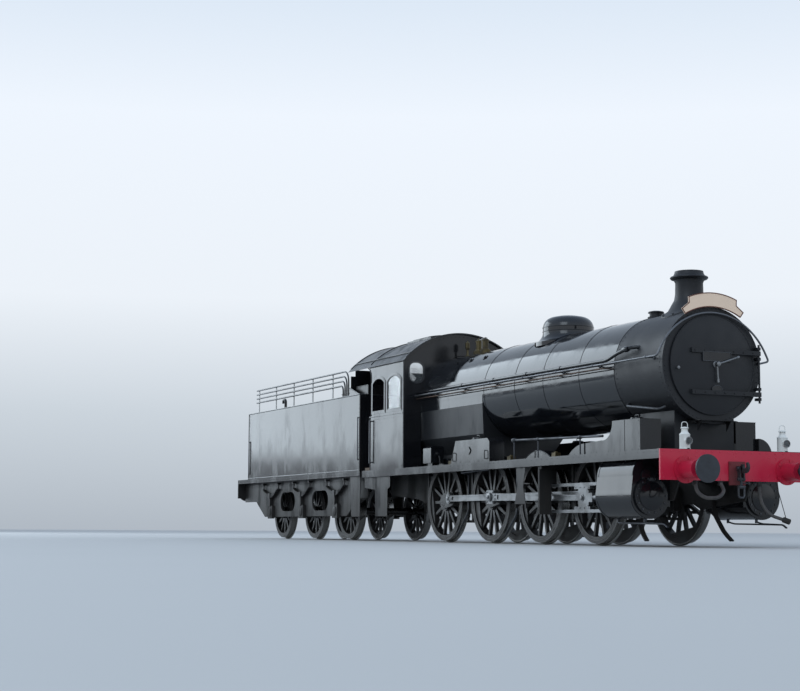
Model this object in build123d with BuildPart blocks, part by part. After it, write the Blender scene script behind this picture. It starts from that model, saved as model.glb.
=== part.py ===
from build123d import *

import math
import os

# Eight-coupled goods locomotive with its six-wheeled tender, +X forward, +Y to its left, +Z up.
# The origin is on the floor under the middle of the length over buffers. The wheels stand on their
# flanges, so a rail's top would be at RAIL. Places along the locomotive are given as distances back
# from the front buffer beam, and back() turns them into X.

# Overall
BEAM_TO_BEAM = 17900.0      # front face of the front beam to rear face of the tender's beam
BUFFER_REACH = 550.0        # buffer head in front of its beam
FLANGE = 28.0               # depth of a wheel flange
RAIL = FLANGE               # height of a rail's top above the floor
NOSE = BEAM_TO_BEAM / 2
SIDES = (-1, 1)             # right side, then left side
WORDS = {-1: "right", 1: "left"}
FIT = 0.4                   # running clearance on the radius of a shaft
SEAT = 0.3                  # gap between pieces that are bolted or bedded together

# Wheels and axles
BACK_TO_BACK = 1360.0
TYRE_WIDTH = 140.0
RIM_DEPTH = 105.0
HUB_WALL = 55.0
DRIVER_R = 701.5
CARRIER_R = 571.5
DRIVER_BACKS = (2440.0, 4167.0, 5894.0, 7672.0)
CARRIER_BACKS = (12140.0, 14070.0, 16000.0)
DRIVEN = 2                  # index of the axle that the connecting rods turn
AXLE_R = 105.0
CARRIER_AXLE_R = 75.0
DRIVER_SPOKES = 14
CARRIER_SPOKES = 12

# Cranks and rods
CRANK = 330.2               # half the stroke
CRANK_DEG = {-1: 10.0, 1: 100.0}
PIN_R = 62.0
CRANK_BOSS_R = 125.0
CRANK_PROUD = 30.0
ROD_DEPTH = 105.0
ROD_BOSS_R = 92.0
ROD_FLUTE = 16.0
COUPLING_Y = (860.0, 915.0)
PIN_END_Y = 921.0
CONROD_Y = (945.0, 1005.0)
CONROD_LENGTH = 3050.0
CHEEK_Y = (928.0, 1022.0)
CHEEK_T = 15.0
BAR_GAP = 360.0             # clear height between the slide bars
BAR_DEPTH = 48.0
BAR_Y = (930.0, 1020.0)
BAR_OVERRUN = 86.0
GUDGEON_R = 45.0
PISTON_ROD_R = 44.0
SLIPPER = 460.0

# Engine frame
FRAME_Y = (610.0, 640.0)
DECK_Z = RAIL + 1340.0      # top of the running plate
DECK_T = 10.0
DECK_Y = 1270.0
VALANCE = 130.0
BEAM_DEPTH = 430.0
BEAM_T = 30.0
BEAM_Y = 1280.0
DRAG_BACK = 10440.0
DRAW_PIN_BACK = 10240.0
DRAW_Z = RAIL + 1032.0
DRAW_PIN_R = 45.0
DRAWBAR = (150.0, 60.0)     # width and thickness
CYLINDER_BACK = (720.0, 1680.0)
CYLINDER_Y = 975.0
CYLINDER_R = 325.0
CHEST_R = 290.0
CHEST_RISE = 285.0
CYLINDER_END = 150.0        # cover and clearance ahead of the piston rod
BUFFER_Y = 870.0
BUFFER_Z = RAIL + 1055.0
BUFFER_HEAD_R = 195.0
HOOK_Z = RAIL + 1085.0
SPLASHER_R = DRIVER_R + 88
SPLASHER_Y = (655.0, 862.0)
HORN_WIDTH = 300.0
HORN_Z = (-330.0, 190.0)    # the axlebox opening below and above the axle's centre
BOX_Z = (-190.0, 180.0)

# Boiler, smokebox and mountings
BOILER_Z = RAIL + 2610.0
BOILER_R = 850.0
BAND_BACKS = (2910.0, 4040.0, 5000.0, 6110.0)
BAND_T = 5.0
SMOKEBOX_BACK = (570.0, 1860.0)
SMOKEBOX_R = 845.0
SMOKEBOX_WALL = 12.0
DOOR_R = 735.0
DOOR_MOUTH_R = 650.0
DOOR_DISH = 95.0
DOOR_EDGE = 20.0
DOOR_GAP = 5.0
HINGE_PIN_R = 16.0
HINGE_EYE_R = 30.0
CHIMNEY_BACK = 1090.0
CHIMNEY_TOP = RAIL + 4065.0
CHIMNEY_BORE = 195.0
DOME_BACK = 4630.0
DOME_TOP = RAIL + 3815.0
DOME_R = 430.0
FIREBOX_BACK = (6150.0, 8950.0)
FIREBOX_Y = 590.0           # half width of the casing between the wheels

# Cab
CAB_BACK = (8620.0, 10180.0)
CAB_Y = 1215.0
EAVES_Z = RAIL + 3385.0
ROOF_Z = RAIL + 3915.0
ROOF_BACK = (8560.0, 11230.0)
SHEET = 8.0
SILL_Z = RAIL + 2460.0
SPRING_Z = RAIL + 3030.0
WINDOW_TOP_Z = RAIL + 3135.0
SIDE_WINDOWS = ((8740.0, 9380.0), (9480.0, 10080.0))

# Tender
TENDER_BACK = 10560.0       # front of the tender's frame
TANK_BACK = (10640.0, 17250.0)
TANK_Y = 1240.0
TANK_TOP = RAIL + 2870.0
SOLEBAR_Y = (1050.0, 1085.0)
SOLEBAR_LOW = RAIL + 470.0
COAL_BACK = (11500.0, 15800.0)
COAL_Y = 1080.0
COAL_DEPTH = 900.0
RAIL_HEIGHTS = (3140.0, 3235.0, 3330.0, 3425.0)
RAIL_Y = 1085.0

AXLE_Z = RAIL + DRIVER_R
CARRIER_Z = RAIL + CARRIER_R
WHEEL_Y = BACK_TO_BACK / 2
WHEEL_OUT = WHEEL_Y + TYRE_WIDTH
DECK_LOW = DECK_Z - DECK_T
DECK_SEAT = DECK_Z + SEAT
STROKE_MIDDLE = DRIVER_BACKS[DRIVEN] - CONROD_LENGTH
BRACKET_BACK = STROKE_MIDDLE + CRANK + SLIPPER / 2 + BAR_OVERRUN
PISTON_REACH = STROKE_MIDDLE - CRANK - CYLINDER_BACK[0] - CYLINDER_END


def back(distance):
    """X of a place that many millimetres behind the front buffer beam."""
    return NOSE - distance


def span(near, far):
    """X limits between two distances behind the front buffer beam."""
    return back(far), back(near)


def across(low, high, side):
    """Y limits of a stretch that is given for the left side, on the side asked for."""
    return tuple(sorted((low * side, high * side)))


def side_plane(y, x=0.0, z=0.0, turn=0.0):
    """An XZ plane through that point, its own x turned up from forward by that angle."""
    angle = math.radians(turn)
    return Plane(origin=(x, y, z), x_dir=(math.cos(angle), 0, math.sin(angle)), z_dir=(0, -1, 0))


def end_plane(x):
    """The YZ plane at that X."""
    return Plane(origin=(x, 0, 0), x_dir=(0, 1, 0), z_dir=(1, 0, 0))


def block(x, y, z, mode=Mode.ADD):
    """A box between two X, two Y and two Z limits."""
    with Locations(tuple((low + high) / 2 for low, high in (x, y, z))):
        Box(*(abs(high - low) for low, high in (x, y, z)), mode=mode)


def bar(axis, x, y, z, radius, mode=Mode.ADD):
    """A round bar along that axis, on which its place is a pair of limits."""
    spot = [x, y, z]
    along = "XYZ".index(axis)
    low, high = sorted(spot[along])
    spot[along] = (low + high) / 2
    turn = {"X": (0, 90, 0), "Y": (90, 0, 0), "Z": (0, 0, 0)}[axis]
    with Locations(Location(tuple(spot), turn)):
        Cylinder(radius, high - low, mode=mode)


def outline(*points, mode=Mode.ADD):
    """A face with straight sides through those points of the open sketch."""
    Polygon(*points, align=None, mode=mode)


def slab(y, mode=Mode.ADD, face=None):
    """Gives a face, or else the last sketch, on side_plane(y[1]) the thickness between the limits."""
    extrude(face, amount=y[1] - y[0], mode=mode)


def pipe(points, radius, bend=0.0):
    """A round bar or pipe along those points, its corners rounded to that radius."""
    with BuildLine() as route:
        if bend:
            FilletPolyline(*points, radius=bend)
        else:
            Polyline(*points)
    with BuildSketch(Plane(origin=points[0], z_dir=Vector(*points[1]) - Vector(*points[0]))) as end:
        Circle(radius)
    sweep(end.sketch, path=route.line)


def cap_radius(rise, half_width):
    """Radius of a shallow cap of that rise and half width."""
    return (rise**2 + half_width**2) / (2 * rise)


def save(part, name):
    """Labels a finished piece and writes its file."""
    part.label = name
    export_step(part, f"parts/{name}.step")


def crank_pin(side, axle=DRIVEN):
    """X and Z of the crank pin on that side of a coupled axle."""
    angle = math.radians(CRANK_DEG[side])
    return back(DRIVER_BACKS[axle]) + CRANK * math.cos(angle), AXLE_Z + CRANK * math.sin(angle)


def gudgeon(side):
    """X of the crosshead's pin, from the crank's angle and the rod's length."""
    x, z = crank_pin(side)
    return x + math.sqrt(CONROD_LENGTH**2 - (z - AXLE_Z) ** 2)


os.makedirs("parts", exist_ok=True)


# Wheelsets
def wheelset(name, distance, radius, axle_r, spokes, axle_end=WHEEL_OUT, weight_deg=0.0):
    """An axle and its two spoked wheels, with cranks and balance weights on a coupled axle."""
    x, z = back(distance), RAIL + radius
    rim_in, hub_r = radius - RIM_DEPTH, axle_r + HUB_WALL
    middle = (WHEEL_Y + WHEEL_OUT) / 2
    with BuildPart() as pair:
        bar("Y", x, (-axle_end, axle_end), z, axle_r)
        for side in SIDES:
            with BuildSketch(Plane(origin=(x, 0, z), x_dir=(0, side, 0), z_dir=(side, 0, 0))):
                outline(
                    (WHEEL_Y, rim_in), (WHEEL_OUT, rim_in), (WHEEL_OUT, radius - 6), (WHEEL_Y + 34, radius),
                    (WHEEL_Y + 24, radius + FLANGE), (WHEEL_Y + 8, radius + FLANGE), (WHEEL_Y, radius + 8),
                )
            revolve(axis=Axis((x, 0, z), (0, 1, 0)))
            bar("Y", x, across(WHEEL_Y, WHEEL_OUT, side), z, hub_r)
            length = rim_in - hub_r + 30
            with BuildSketch(side_plane(side * middle, x, z)):
                with PolarLocations((hub_r + rim_in) / 2, spokes):
                    outline(
                        (-length / 2, -31), (length / 2, -21), (length / 2, 21), (-length / 2, 31),
                    )
            extrude(amount=29, both=True)
            if weight_deg:
                crank_and_weight(side, x, z, rim_in, weight_deg)
    save(pair.part, name)


def crank_and_weight(side, x, z, rim_in, weight_deg):
    """Adds a wheel's crank boss, its pin and the balance weight opposite to them."""
    turn = CRANK_DEG[side]
    boss = across(WHEEL_Y, WHEEL_OUT + CRANK_PROUD, side)
    with BuildSketch(side_plane(boss[1], x, z, turn)) as web:
        with Locations((CRANK / 2, 0)):
            SlotCenterToCenter(CRANK, 2 * CRANK_BOSS_R)
    slab(boss, face=web.sketch)
    pin = across(WHEEL_OUT, PIN_END_Y, side)
    with BuildSketch(side_plane(pin[1], x, z, turn)) as circle:
        with Locations((CRANK, 0)):
            Circle(PIN_R)
    slab(pin, face=circle.sketch)
    reach, half = rim_in + 12, math.radians(weight_deg)
    corner = (reach * math.cos(half), reach * math.sin(half))
    weight = across(WHEEL_Y + 18, WHEEL_OUT - 18, side)
    with BuildSketch(side_plane(weight[1], x, z, turn + 180)) as segment:
        with BuildLine():
            ThreePointArc(corner, (reach, 0), (corner[0], -corner[1]))
            Line((corner[0], -corner[1]), corner)
        make_face()
    slab(weight, face=segment.sketch)


# Each coupled axle's name and half the angle that its balance weights cover
COUPLED = (("leading", 36.0), ("second", 36.0), ("driving", 44.0), ("trailing", 36.0))
for (word, weight_deg), distance in zip(COUPLED, DRIVER_BACKS):
    wheelset(f"{word}_wheelset", distance, DRIVER_R, AXLE_R, DRIVER_SPOKES, weight_deg=weight_deg)
for word, distance in zip(("front", "middle", "rear"), CARRIER_BACKS):
    wheelset(f"tender_{word}_wheelset", distance, CARRIER_R, CARRIER_AXLE_R, CARRIER_SPOKES, SOLEBAR_Y[0] + 15)


# Rods and crossheads
def coupling_rod(side):
    """The rod that joins one side's four crank pins, fluted on its outer face."""
    pins = [crank_pin(side, axle) for axle in range(len(DRIVER_BACKS))]
    y = across(*COUPLING_Y, side)
    flute = across(COUPLING_Y[1] - ROD_FLUTE, COUPLING_Y[1], side)
    with BuildPart() as piece:
        with BuildSketch(side_plane(y[1])):
            for (x0, z0), (x1, _) in zip(pins, pins[1:]):
                with Locations(((x0 + x1) / 2, z0)):
                    Rectangle(x0 - x1, ROD_DEPTH)
            with Locations(*pins):
                Circle(ROD_BOSS_R)
            with Locations(*((x, z + ROD_BOSS_R) for x, z in pins)):
                Rectangle(46, 44)
            with Locations(*pins):
                Circle(PIN_R + FIT, mode=Mode.SUBTRACT)
        slab(y)
        with BuildSketch(side_plane(flute[1])):
            for (x0, z0), (x1, _) in zip(pins, pins[1:]):
                with Locations(((x0 + x1) / 2, z0)):
                    SlotOverall(x0 - x1 - 3.2 * ROD_BOSS_R, ROD_DEPTH - 44)
        slab(flute, Mode.SUBTRACT)
    save(piece.part, f"coupling_rod_{WORDS[side]}")


def connecting_rod(side):
    """The rod from the crosshead to the driving axle, with its strap end and its own journal."""
    (pin_x, pin_z), head_x = crank_pin(side), gudgeon(side)
    lean = math.degrees(math.atan2(AXLE_Z - pin_z, head_x - pin_x))
    y = across(*CONROD_Y, side)
    flute = across(CONROD_Y[1] - ROD_FLUTE, CONROD_Y[1], side)
    with BuildPart() as piece:
        with BuildSketch(side_plane(y[1], pin_x, pin_z, lean)):
            RectangleRounded(270, 225, 40)
            outline((100, 62), (CONROD_LENGTH, 42), (CONROD_LENGTH, -42), (100, -62))
            with Locations((CONROD_LENGTH, 0)):
                Circle(80)
                Circle(GUDGEON_R + FIT, mode=Mode.SUBTRACT)
        slab(y)
        with BuildSketch(side_plane(flute[1], pin_x, pin_z, lean)):
            outline((260, 38), (CONROD_LENGTH - 180, 22), (CONROD_LENGTH - 180, -22), (260, -38))
        slab(flute, Mode.SUBTRACT)
        bar("Y", pin_x, across(CONROD_Y[0] - 12, CONROD_Y[1] + 20, side), pin_z, 78)
    save(piece.part, f"connecting_rod_{WORDS[side]}")


def crosshead(side):
    """The crosshead between its bars, with its gudgeon pin and the piston rod ahead of it."""
    x = gudgeon(side)
    shoe = BAR_GAP / 2 - SEAT
    with BuildPart() as piece:
        for low, high in ((shoe - 46, shoe), (-shoe, 46 - shoe)):
            block((x - SLIPPER / 2, x + SLIPPER / 2), across(*CHEEK_Y, side), (AXLE_Z + low, AXLE_Z + high))
        for low, high in ((CHEEK_Y[0], CHEEK_Y[0] + CHEEK_T), (CHEEK_Y[1] - CHEEK_T, CHEEK_Y[1])):
            y = across(low, high, side)
            with BuildSketch(side_plane(y[1], x, AXLE_Z)):
                outline((-100, shoe - 1), (-130, 0), (-100, 1 - shoe), (170, 1 - shoe), (170, shoe - 1))
            slab(y)
        block((x + 110, x + 190), across(*CHEEK_Y, side), (AXLE_Z - 110, AXLE_Z + 110))
        bar("Y", x, across(*CHEEK_Y, side), AXLE_Z, GUDGEON_R)
        block((x + 190, x + 290), across(*CHEEK_Y, side), (AXLE_Z - 70, AXLE_Z + 70))
        bar("X", (x + 150, x + PISTON_REACH), side * CYLINDER_Y, AXLE_Z, PISTON_ROD_R)
    save(piece.part, f"crosshead_{WORDS[side]}")


for side in SIDES:
    coupling_rod(side)
    connecting_rod(side)
    crosshead(side)


# Engine frame: two plates with an opening for each axlebox, and stretchers between them
FRAME_TOP = DECK_LOW - SEAT
STRETCHERS = (340.0, 1750.0, 3300.0, 5030.0, 9000.0, DRAG_BACK - BEAM_T)
with BuildPart() as main_frame:
    for side in SIDES:
        y = across(*FRAME_Y, side)
        with BuildSketch(side_plane(y[1])):
            outline(
                (back(BEAM_T + SEAT), FRAME_TOP), (back(DRAG_BACK), FRAME_TOP), (back(DRAG_BACK), DECK_Z - 470),
                (back(9200), DECK_Z - 560), (back(8450), AXLE_Z - 90), (back(1950), AXLE_Z - 90),
                (back(1750), AXLE_Z - 170), (back(650), AXLE_Z - 60), (back(500), DECK_Z - BEAM_DEPTH),
                (back(BEAM_T + SEAT), DECK_Z - BEAM_DEPTH),
            )
            for distance in DRIVER_BACKS:
                with Locations((back(distance), AXLE_Z + sum(HORN_Z) / 2)):
                    Rectangle(HORN_WIDTH + 130, HORN_Z[1] - HORN_Z[0])
            for distance in DRIVER_BACKS:
                with Locations((back(distance), AXLE_Z + (HORN_Z[0] + 40 + HORN_Z[1]) / 2)):
                    Rectangle(HORN_WIDTH, HORN_Z[1] - HORN_Z[0] - 40, mode=Mode.SUBTRACT)
        slab(y)
save(main_frame.part, "main_frame")

with BuildPart() as frame_stretchers:
    for distance in STRETCHERS:
        block(span(distance, distance + BEAM_T), (SEAT - FRAME_Y[0], FRAME_Y[0] - SEAT), (AXLE_Z + 260, FRAME_TOP))
    block(span(DRAG_BACK - BEAM_T - 1, DRAG_BACK + 1), (-DRAWBAR[0], DRAWBAR[0]), (DRAW_Z - 60, DRAW_Z + 60),
          Mode.SUBTRACT)
save(frame_stretchers.part, "frame_stretchers")

# The drag box holds the pin on which the tender turns
with BuildPart() as drag_box:
    x = span(DRAW_PIN_BACK - 130, DRAG_BACK - BEAM_T - SEAT)
    for z in (DRAW_Z - DRAWBAR[1] / 2 - 40, DRAW_Z + DRAWBAR[1] / 2 + 10):
        block(x, (SEAT - FRAME_Y[0], FRAME_Y[0] - SEAT), (z, z + 30))
    bar("Z", back(DRAW_PIN_BACK), 0, (DRAW_Z - 100, DRAW_Z + 85), DRAW_PIN_R)
save(drag_box.part, "drag_box")

with BuildPart() as drawbar:
    x, z = back(DRAW_PIN_BACK), (DRAW_Z - DRAWBAR[1] / 2, DRAW_Z + DRAWBAR[1] / 2)
    bar("Z", x, 0, z, DRAW_PIN_R + 55)
    block((back(TENDER_BACK - SEAT), x), (-DRAWBAR[0] / 2, DRAWBAR[0] / 2), z)
    block(span(TENDER_BACK - 25, TENDER_BACK - SEAT), (-160, 160), (DRAW_Z - 110, DRAW_Z + 110))
    bar("Z", x, 0, (z[0] - 1, z[1] + 1), DRAW_PIN_R + FIT, Mode.SUBTRACT)
save(drawbar.part, "drawbar")

with BuildPart() as axleboxes:
    for side in SIDES:
        for distance in DRIVER_BACKS:
            x, half = back(distance), HORN_WIDTH / 2 - SEAT
            block((x - half, x + half), across(FRAME_Y[0] - 120, FRAME_Y[1] + 12, side),
                  (AXLE_Z + BOX_Z[0], AXLE_Z + BOX_Z[1]))
            bar("Y", x, across(FRAME_Y[0] - 121, FRAME_Y[1] + 13, side), AXLE_Z, AXLE_R + FIT, Mode.SUBTRACT)
save(axleboxes.part, "axleboxes")

with BuildPart() as buffer_beam:
    block(span(0, BEAM_T), (-BEAM_Y, BEAM_Y), (DECK_Z - BEAM_DEPTH, DECK_Z))
save(buffer_beam.part, "buffer_beam")

with BuildPart() as running_plate:
    for side in SIDES:
        block(span(BEAM_T + SEAT, DRAG_BACK), across(FRAME_Y[0] - 10, DECK_Y, side), (DECK_LOW, DECK_Z))
        block(span(BEAM_T + SEAT, DRAG_BACK), across(DECK_Y - 12, DECK_Y, side), (DECK_Z - VALANCE, DECK_LOW))
        for distance in DRIVER_BACKS:
            block(span(distance - 440, distance + 440), across(WHEEL_Y - 18, WHEEL_OUT + 22, side),
                  (DECK_LOW - 1, DECK_Z + 1), Mode.SUBTRACT)
    block(span(BEAM_T + SEAT, SMOKEBOX_BACK[0] + 180), (-FRAME_Y[0], FRAME_Y[0]), (DECK_LOW, DECK_Z))
save(running_plate.part, "running_plate")

with BuildPart() as splashers:
    for side in SIDES:
        y = across(*SPLASHER_Y, side)
        hollow = across(SPLASHER_Y[0] - 1, SPLASHER_Y[1] - SHEET, side)
        for distance in DRIVER_BACKS[1:]:
            for limits, radius, mode in ((y, SPLASHER_R, Mode.ADD), (hollow, SPLASHER_R - SHEET, Mode.SUBTRACT)):
                with BuildSketch(side_plane(limits[1], back(distance), AXLE_Z)):
                    Circle(radius)
                    with Locations((0, DECK_SEAT - AXLE_Z - radius)):
                        Rectangle(2 * radius, 2 * radius, mode=Mode.SUBTRACT)
                slab(limits, mode)
save(splashers.part, "splashers")

# The front sandbox runs back into the leading wheel's splasher in one sweep
BOX_TOP = RAIL + 1820
CASING_Y = (660.0, 1020.0)
with BuildPart() as front_sandboxes:
    for side in SIDES:
        y = across(*CASING_Y, side)
        with BuildSketch(side_plane(y[1])) as casing:
            with BuildLine():
                Polyline((back(2950), DECK_SEAT), (back(900), DECK_SEAT), (back(900), BOX_TOP), (back(1650), BOX_TOP))
                ThreePointArc((back(1650), BOX_TOP), (back(1725), RAIL + 1625), (back(1950), RAIL + 1550))
                Line((back(1950), RAIL + 1550), (back(2440), RAIL + 1525))
                ThreePointArc((back(2440), RAIL + 1525), (back(2770), RAIL + 1455), (back(2950), DECK_SEAT))
            make_face()
        slab(y)
        inner = across(CASING_Y[0] - 1, CASING_Y[1] - SHEET, side)
        with BuildSketch(side_plane(inner[1])):
            add(casing.sketch.moved(Location((0, inner[1] - y[1], 0))))
            offset(amount=-SHEET)
            with Locations((back(1000), BOX_TOP)):
                Rectangle(1400, 1400, mode=Mode.SUBTRACT)
            with Locations((back(2340), DECK_SEAT + 4)):
                Rectangle(1190, 2 * SHEET)
        slab(inner, Mode.SUBTRACT)
save(front_sandboxes.part, "front_sandboxes")

with BuildPart() as rear_sandboxes:
    for side in SIDES:
        y = across(SPLASHER_Y[1] + SEAT, 1150, side)
        with BuildSketch(side_plane(y[1])):
            outline((back(5310), DECK_SEAT), (back(6770), DECK_SEAT), (back(6580), RAIL + 1750),
                    (back(5380), RAIL + 1750), (back(5310), RAIL + 1690))
        slab(y)
save(rear_sandboxes.part, "rear_sandboxes")

# Cylinders, slide bars and motion brackets
CYLINDER_IN = FRAME_Y[1] + SEAT
with BuildPart() as cylinders:
    for side in SIDES:
        with BuildSketch(end_plane(back(CYLINDER_BACK[1]))):
            with Locations((side * CYLINDER_Y, AXLE_Z)):
                Circle(CYLINDER_R)
            with Locations((side * CYLINDER_Y, AXLE_Z + CHEST_RISE)):
                Circle(CHEST_R)
            outline((side * CYLINDER_IN, AXLE_Z - 150), (side * CYLINDER_IN, AXLE_Z + CHEST_RISE + 200),
                    (side * (CYLINDER_Y + CHEST_R), AXLE_Z + CHEST_RISE), (side * (CYLINDER_Y + CYLINDER_R), AXLE_Z))
            with Locations((side * (CYLINDER_IN - 500), AXLE_Z)):
                Rectangle(1000, 3000, mode=Mode.SUBTRACT)
        extrude(amount=CYLINDER_BACK[1] - CYLINDER_BACK[0])
        bar("X", span(CYLINDER_BACK[1] - 5, CYLINDER_BACK[1] + 70), side * CYLINDER_Y, AXLE_Z, 95)
        bar("X", span(CYLINDER_BACK[0] - 35, CYLINDER_BACK[0] + 5), side * CYLINDER_Y, AXLE_Z, 275)
        bar("X", span(CYLINDER_BACK[0] + CYLINDER_END - 20, CYLINDER_BACK[1] + 71), side * CYLINDER_Y, AXLE_Z,
            PISTON_ROD_R + FIT, Mode.SUBTRACT)
save(cylinders.part, "cylinders")

with BuildPart() as slide_bars:
    for side in SIDES:
        for z in (BAR_GAP / 2, -BAR_GAP / 2 - BAR_DEPTH):
            block(span(CYLINDER_BACK[1] + SEAT, BRACKET_BACK - 45), across(*BAR_Y, side),
                  (AXLE_Z + z, AXLE_Z + z + BAR_DEPTH))
save(slide_bars.part, "slide_bars")

# A cross arm runs out between the first two wheels, and the bracket hangs from it outside them
BRACKET_T = 45.0
BRACKET_Y = (WHEEL_OUT + CRANK_PROUD + 20, DECK_Y - 30)
BRACKET_LOW = AXLE_Z - 250
ARM_LOW = DECK_Z - 180
ARM_BACK = DRIVER_BACKS[1] - DRIVER_R - FLANGE - 8
with BuildPart() as motion_brackets:
    for side in SIDES:
        x = span(BRACKET_BACK - BRACKET_T + SEAT, BRACKET_BACK)
        top = DECK_LOW - SEAT
        block(x, across(BAR_Y[0], BRACKET_Y[1], side), (AXLE_Z + BAR_GAP / 2, top))
        block(x, across(CONROD_Y[1] + 18, BRACKET_Y[1], side), (BRACKET_LOW, top))
        block(x, across(BAR_Y[0], BRACKET_Y[1], side), (BRACKET_LOW, AXLE_Z - BAR_GAP / 2))
        block(span(ARM_BACK - BRACKET_T, ARM_BACK), across(FRAME_Y[1] + SEAT, BRACKET_Y[1], side), (ARM_LOW, top))
        block(span(min(ARM_BACK - BRACKET_T, BRACKET_BACK - BRACKET_T), max(ARM_BACK, BRACKET_BACK)),
              across(*BRACKET_Y, side), (ARM_LOW, top))
save(motion_brackets.part, "motion_brackets")

# Smokebox, open to its door and its chimney
with BuildPart() as smokebox:
    x = span(*SMOKEBOX_BACK)
    bar("X", x, 0, BOILER_Z, SMOKEBOX_R)
    bar("X", span(SMOKEBOX_BACK[0] - 20, SMOKEBOX_BACK[0] + 40), 0, BOILER_Z, SMOKEBOX_R + 12)
    block(span(760, 1650), (-520, 520), (DECK_SEAT, BOILER_Z - 500))
    bar("X", span(SMOKEBOX_BACK[0] + 15, SMOKEBOX_BACK[1] - 20), 0, BOILER_Z, SMOKEBOX_R - SMOKEBOX_WALL,
        Mode.SUBTRACT)
    bar("X", span(SMOKEBOX_BACK[0] - 21, SMOKEBOX_BACK[0] + 16), 0, BOILER_Z, DOOR_MOUTH_R, Mode.SUBTRACT)
    bar("Z", back(CHIMNEY_BACK), 0, (BOILER_Z, BOILER_Z + SMOKEBOX_R + 1), CHIMNEY_BORE, Mode.SUBTRACT)
save(smokebox.part, "smokebox")

DOOR_X = back(SMOKEBOX_BACK[0] - 20 - DOOR_GAP)
HINGE_Y = DOOR_R + 45
HINGE_X = DOOR_X + 75
HINGE_ZS = (RAIL + 2200, RAIL + 2805)
with BuildPart() as smokebox_door:
    with BuildSketch(side_plane(0, DOOR_X, BOILER_Z)):
        with BuildLine():
            Polyline((0, 0), (0, DOOR_R), (DOOR_EDGE, DOOR_R))
            RadiusArc((DOOR_EDGE, DOOR_R), (DOOR_DISH, 0), cap_radius(DOOR_DISH - DOOR_EDGE, DOOR_R))
            Line((DOOR_DISH, 0), (0, 0))
        make_face()
    revolve(axis=Axis((0, 0, BOILER_Z), (1, 0, 0)))
    for z in HINGE_ZS:
        block((DOOR_X + 30, DOOR_X + 105), (-420, HINGE_Y), (z - 32, z + 32))
        bar("Z", HINGE_X, HINGE_Y, (z - 32, z + 32), HINGE_EYE_R)
        bar("Z", HINGE_X, HINGE_Y, (z - 33, z + 33), HINGE_PIN_R + FIT, Mode.SUBTRACT)
save(smokebox_door.part, "smokebox_door")

with BuildPart() as door_hinge:
    bar("Z", HINGE_X, HINGE_Y, (HINGE_ZS[0] - 130, HINGE_ZS[1] + 130), HINGE_PIN_R)
    for z in (HINGE_ZS[0] - 90, HINGE_ZS[0] + 60, HINGE_ZS[1] - 100, HINGE_ZS[1] + 50):
        block((back(SMOKEBOX_BACK[0] - 20 - SEAT), HINGE_X), (HINGE_Y - 30, HINGE_Y + 30), (z, z + 40))
        bar("Z", HINGE_X, HINGE_Y, (z, z + 40), 30)
save(door_hinge.part, "door_hinge")

with BuildPart() as chimney:
    foot = BOILER_Z + SMOKEBOX_R
    with BuildSketch(side_plane(0, back(CHIMNEY_BACK))):
        with BuildLine():
            Polyline((CHIMNEY_BORE, foot - 90), (430, foot - 90), (430, foot - 60))
            ThreePointArc((430, foot - 60), (305, foot + 10), (262, foot + 120))
            Polyline((262, foot + 120), (272, CHIMNEY_TOP - 150), (345, CHIMNEY_TOP - 125),
                     (345, CHIMNEY_TOP - 90), (250, CHIMNEY_TOP - 75), (222, CHIMNEY_TOP),
                     (CHIMNEY_BORE, CHIMNEY_TOP), (CHIMNEY_BORE, foot - 90))
        make_face()
    revolve(axis=Axis((back(CHIMNEY_BACK), 0, 0), (0, 0, 1)))
    bar("X", span(CHIMNEY_BACK - 500, CHIMNEY_BACK + 500), 0, BOILER_Z, SMOKEBOX_R + SEAT, Mode.SUBTRACT)
save(chimney.part, "chimney")

with BuildPart() as boiler:
    bar("X", span(SMOKEBOX_BACK[1] + SEAT, FIREBOX_BACK[0]), 0, BOILER_Z, BOILER_R)
    for distance in BAND_BACKS:
        bar("X", span(distance - 30, distance + 30), 0, BOILER_Z, BOILER_R + BAND_T)
save(boiler.part, "boiler")

with BuildPart() as dome:
    foot = BOILER_Z + BOILER_R
    with BuildSketch(side_plane(0, back(DOME_BACK))):
        with BuildLine():
            Polyline((0, foot - 190), (570, foot - 190), (570, foot - 120))
            ThreePointArc((570, foot - 120), (465, foot - 40), (DOME_R, foot + 70))
            Line((DOME_R, foot + 70), (DOME_R, DOME_TOP - 215))
            ThreePointArc((DOME_R, DOME_TOP - 215), (DOME_R - 55, DOME_TOP - 90), (DOME_R - 180, DOME_TOP - 32))
            RadiusArc((DOME_R - 180, DOME_TOP - 32), (0, DOME_TOP), -cap_radius(32, DOME_R - 180))
            Line((0, DOME_TOP), (0, foot - 190))
        make_face()
    revolve(axis=Axis((back(DOME_BACK), 0, 0), (0, 0, 1)))
    bar("X", span(DOME_BACK - 700, DOME_BACK + 700), 0, BOILER_Z, BOILER_R + BAND_T + SEAT, Mode.SUBTRACT)
save(dome.part, "dome")

with BuildPart() as firebox:
    x = (back(FIREBOX_BACK[1]), back(FIREBOX_BACK[0] + SEAT))
    bar("X", x, 0, BOILER_Z, BOILER_R)
    with BuildSketch(end_plane(x[0])):
        outline((BOILER_R, BOILER_Z), (BOILER_R - 30, 1900), (FIREBOX_Y, 1600), (FIREBOX_Y, DECK_Z - 60),
                (-FIREBOX_Y, DECK_Z - 60), (-FIREBOX_Y, 1600), (30 - BOILER_R, 1900), (-BOILER_R, BOILER_Z))
    extrude(amount=x[1] - x[0])
save(firebox.part, "firebox")

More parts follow.
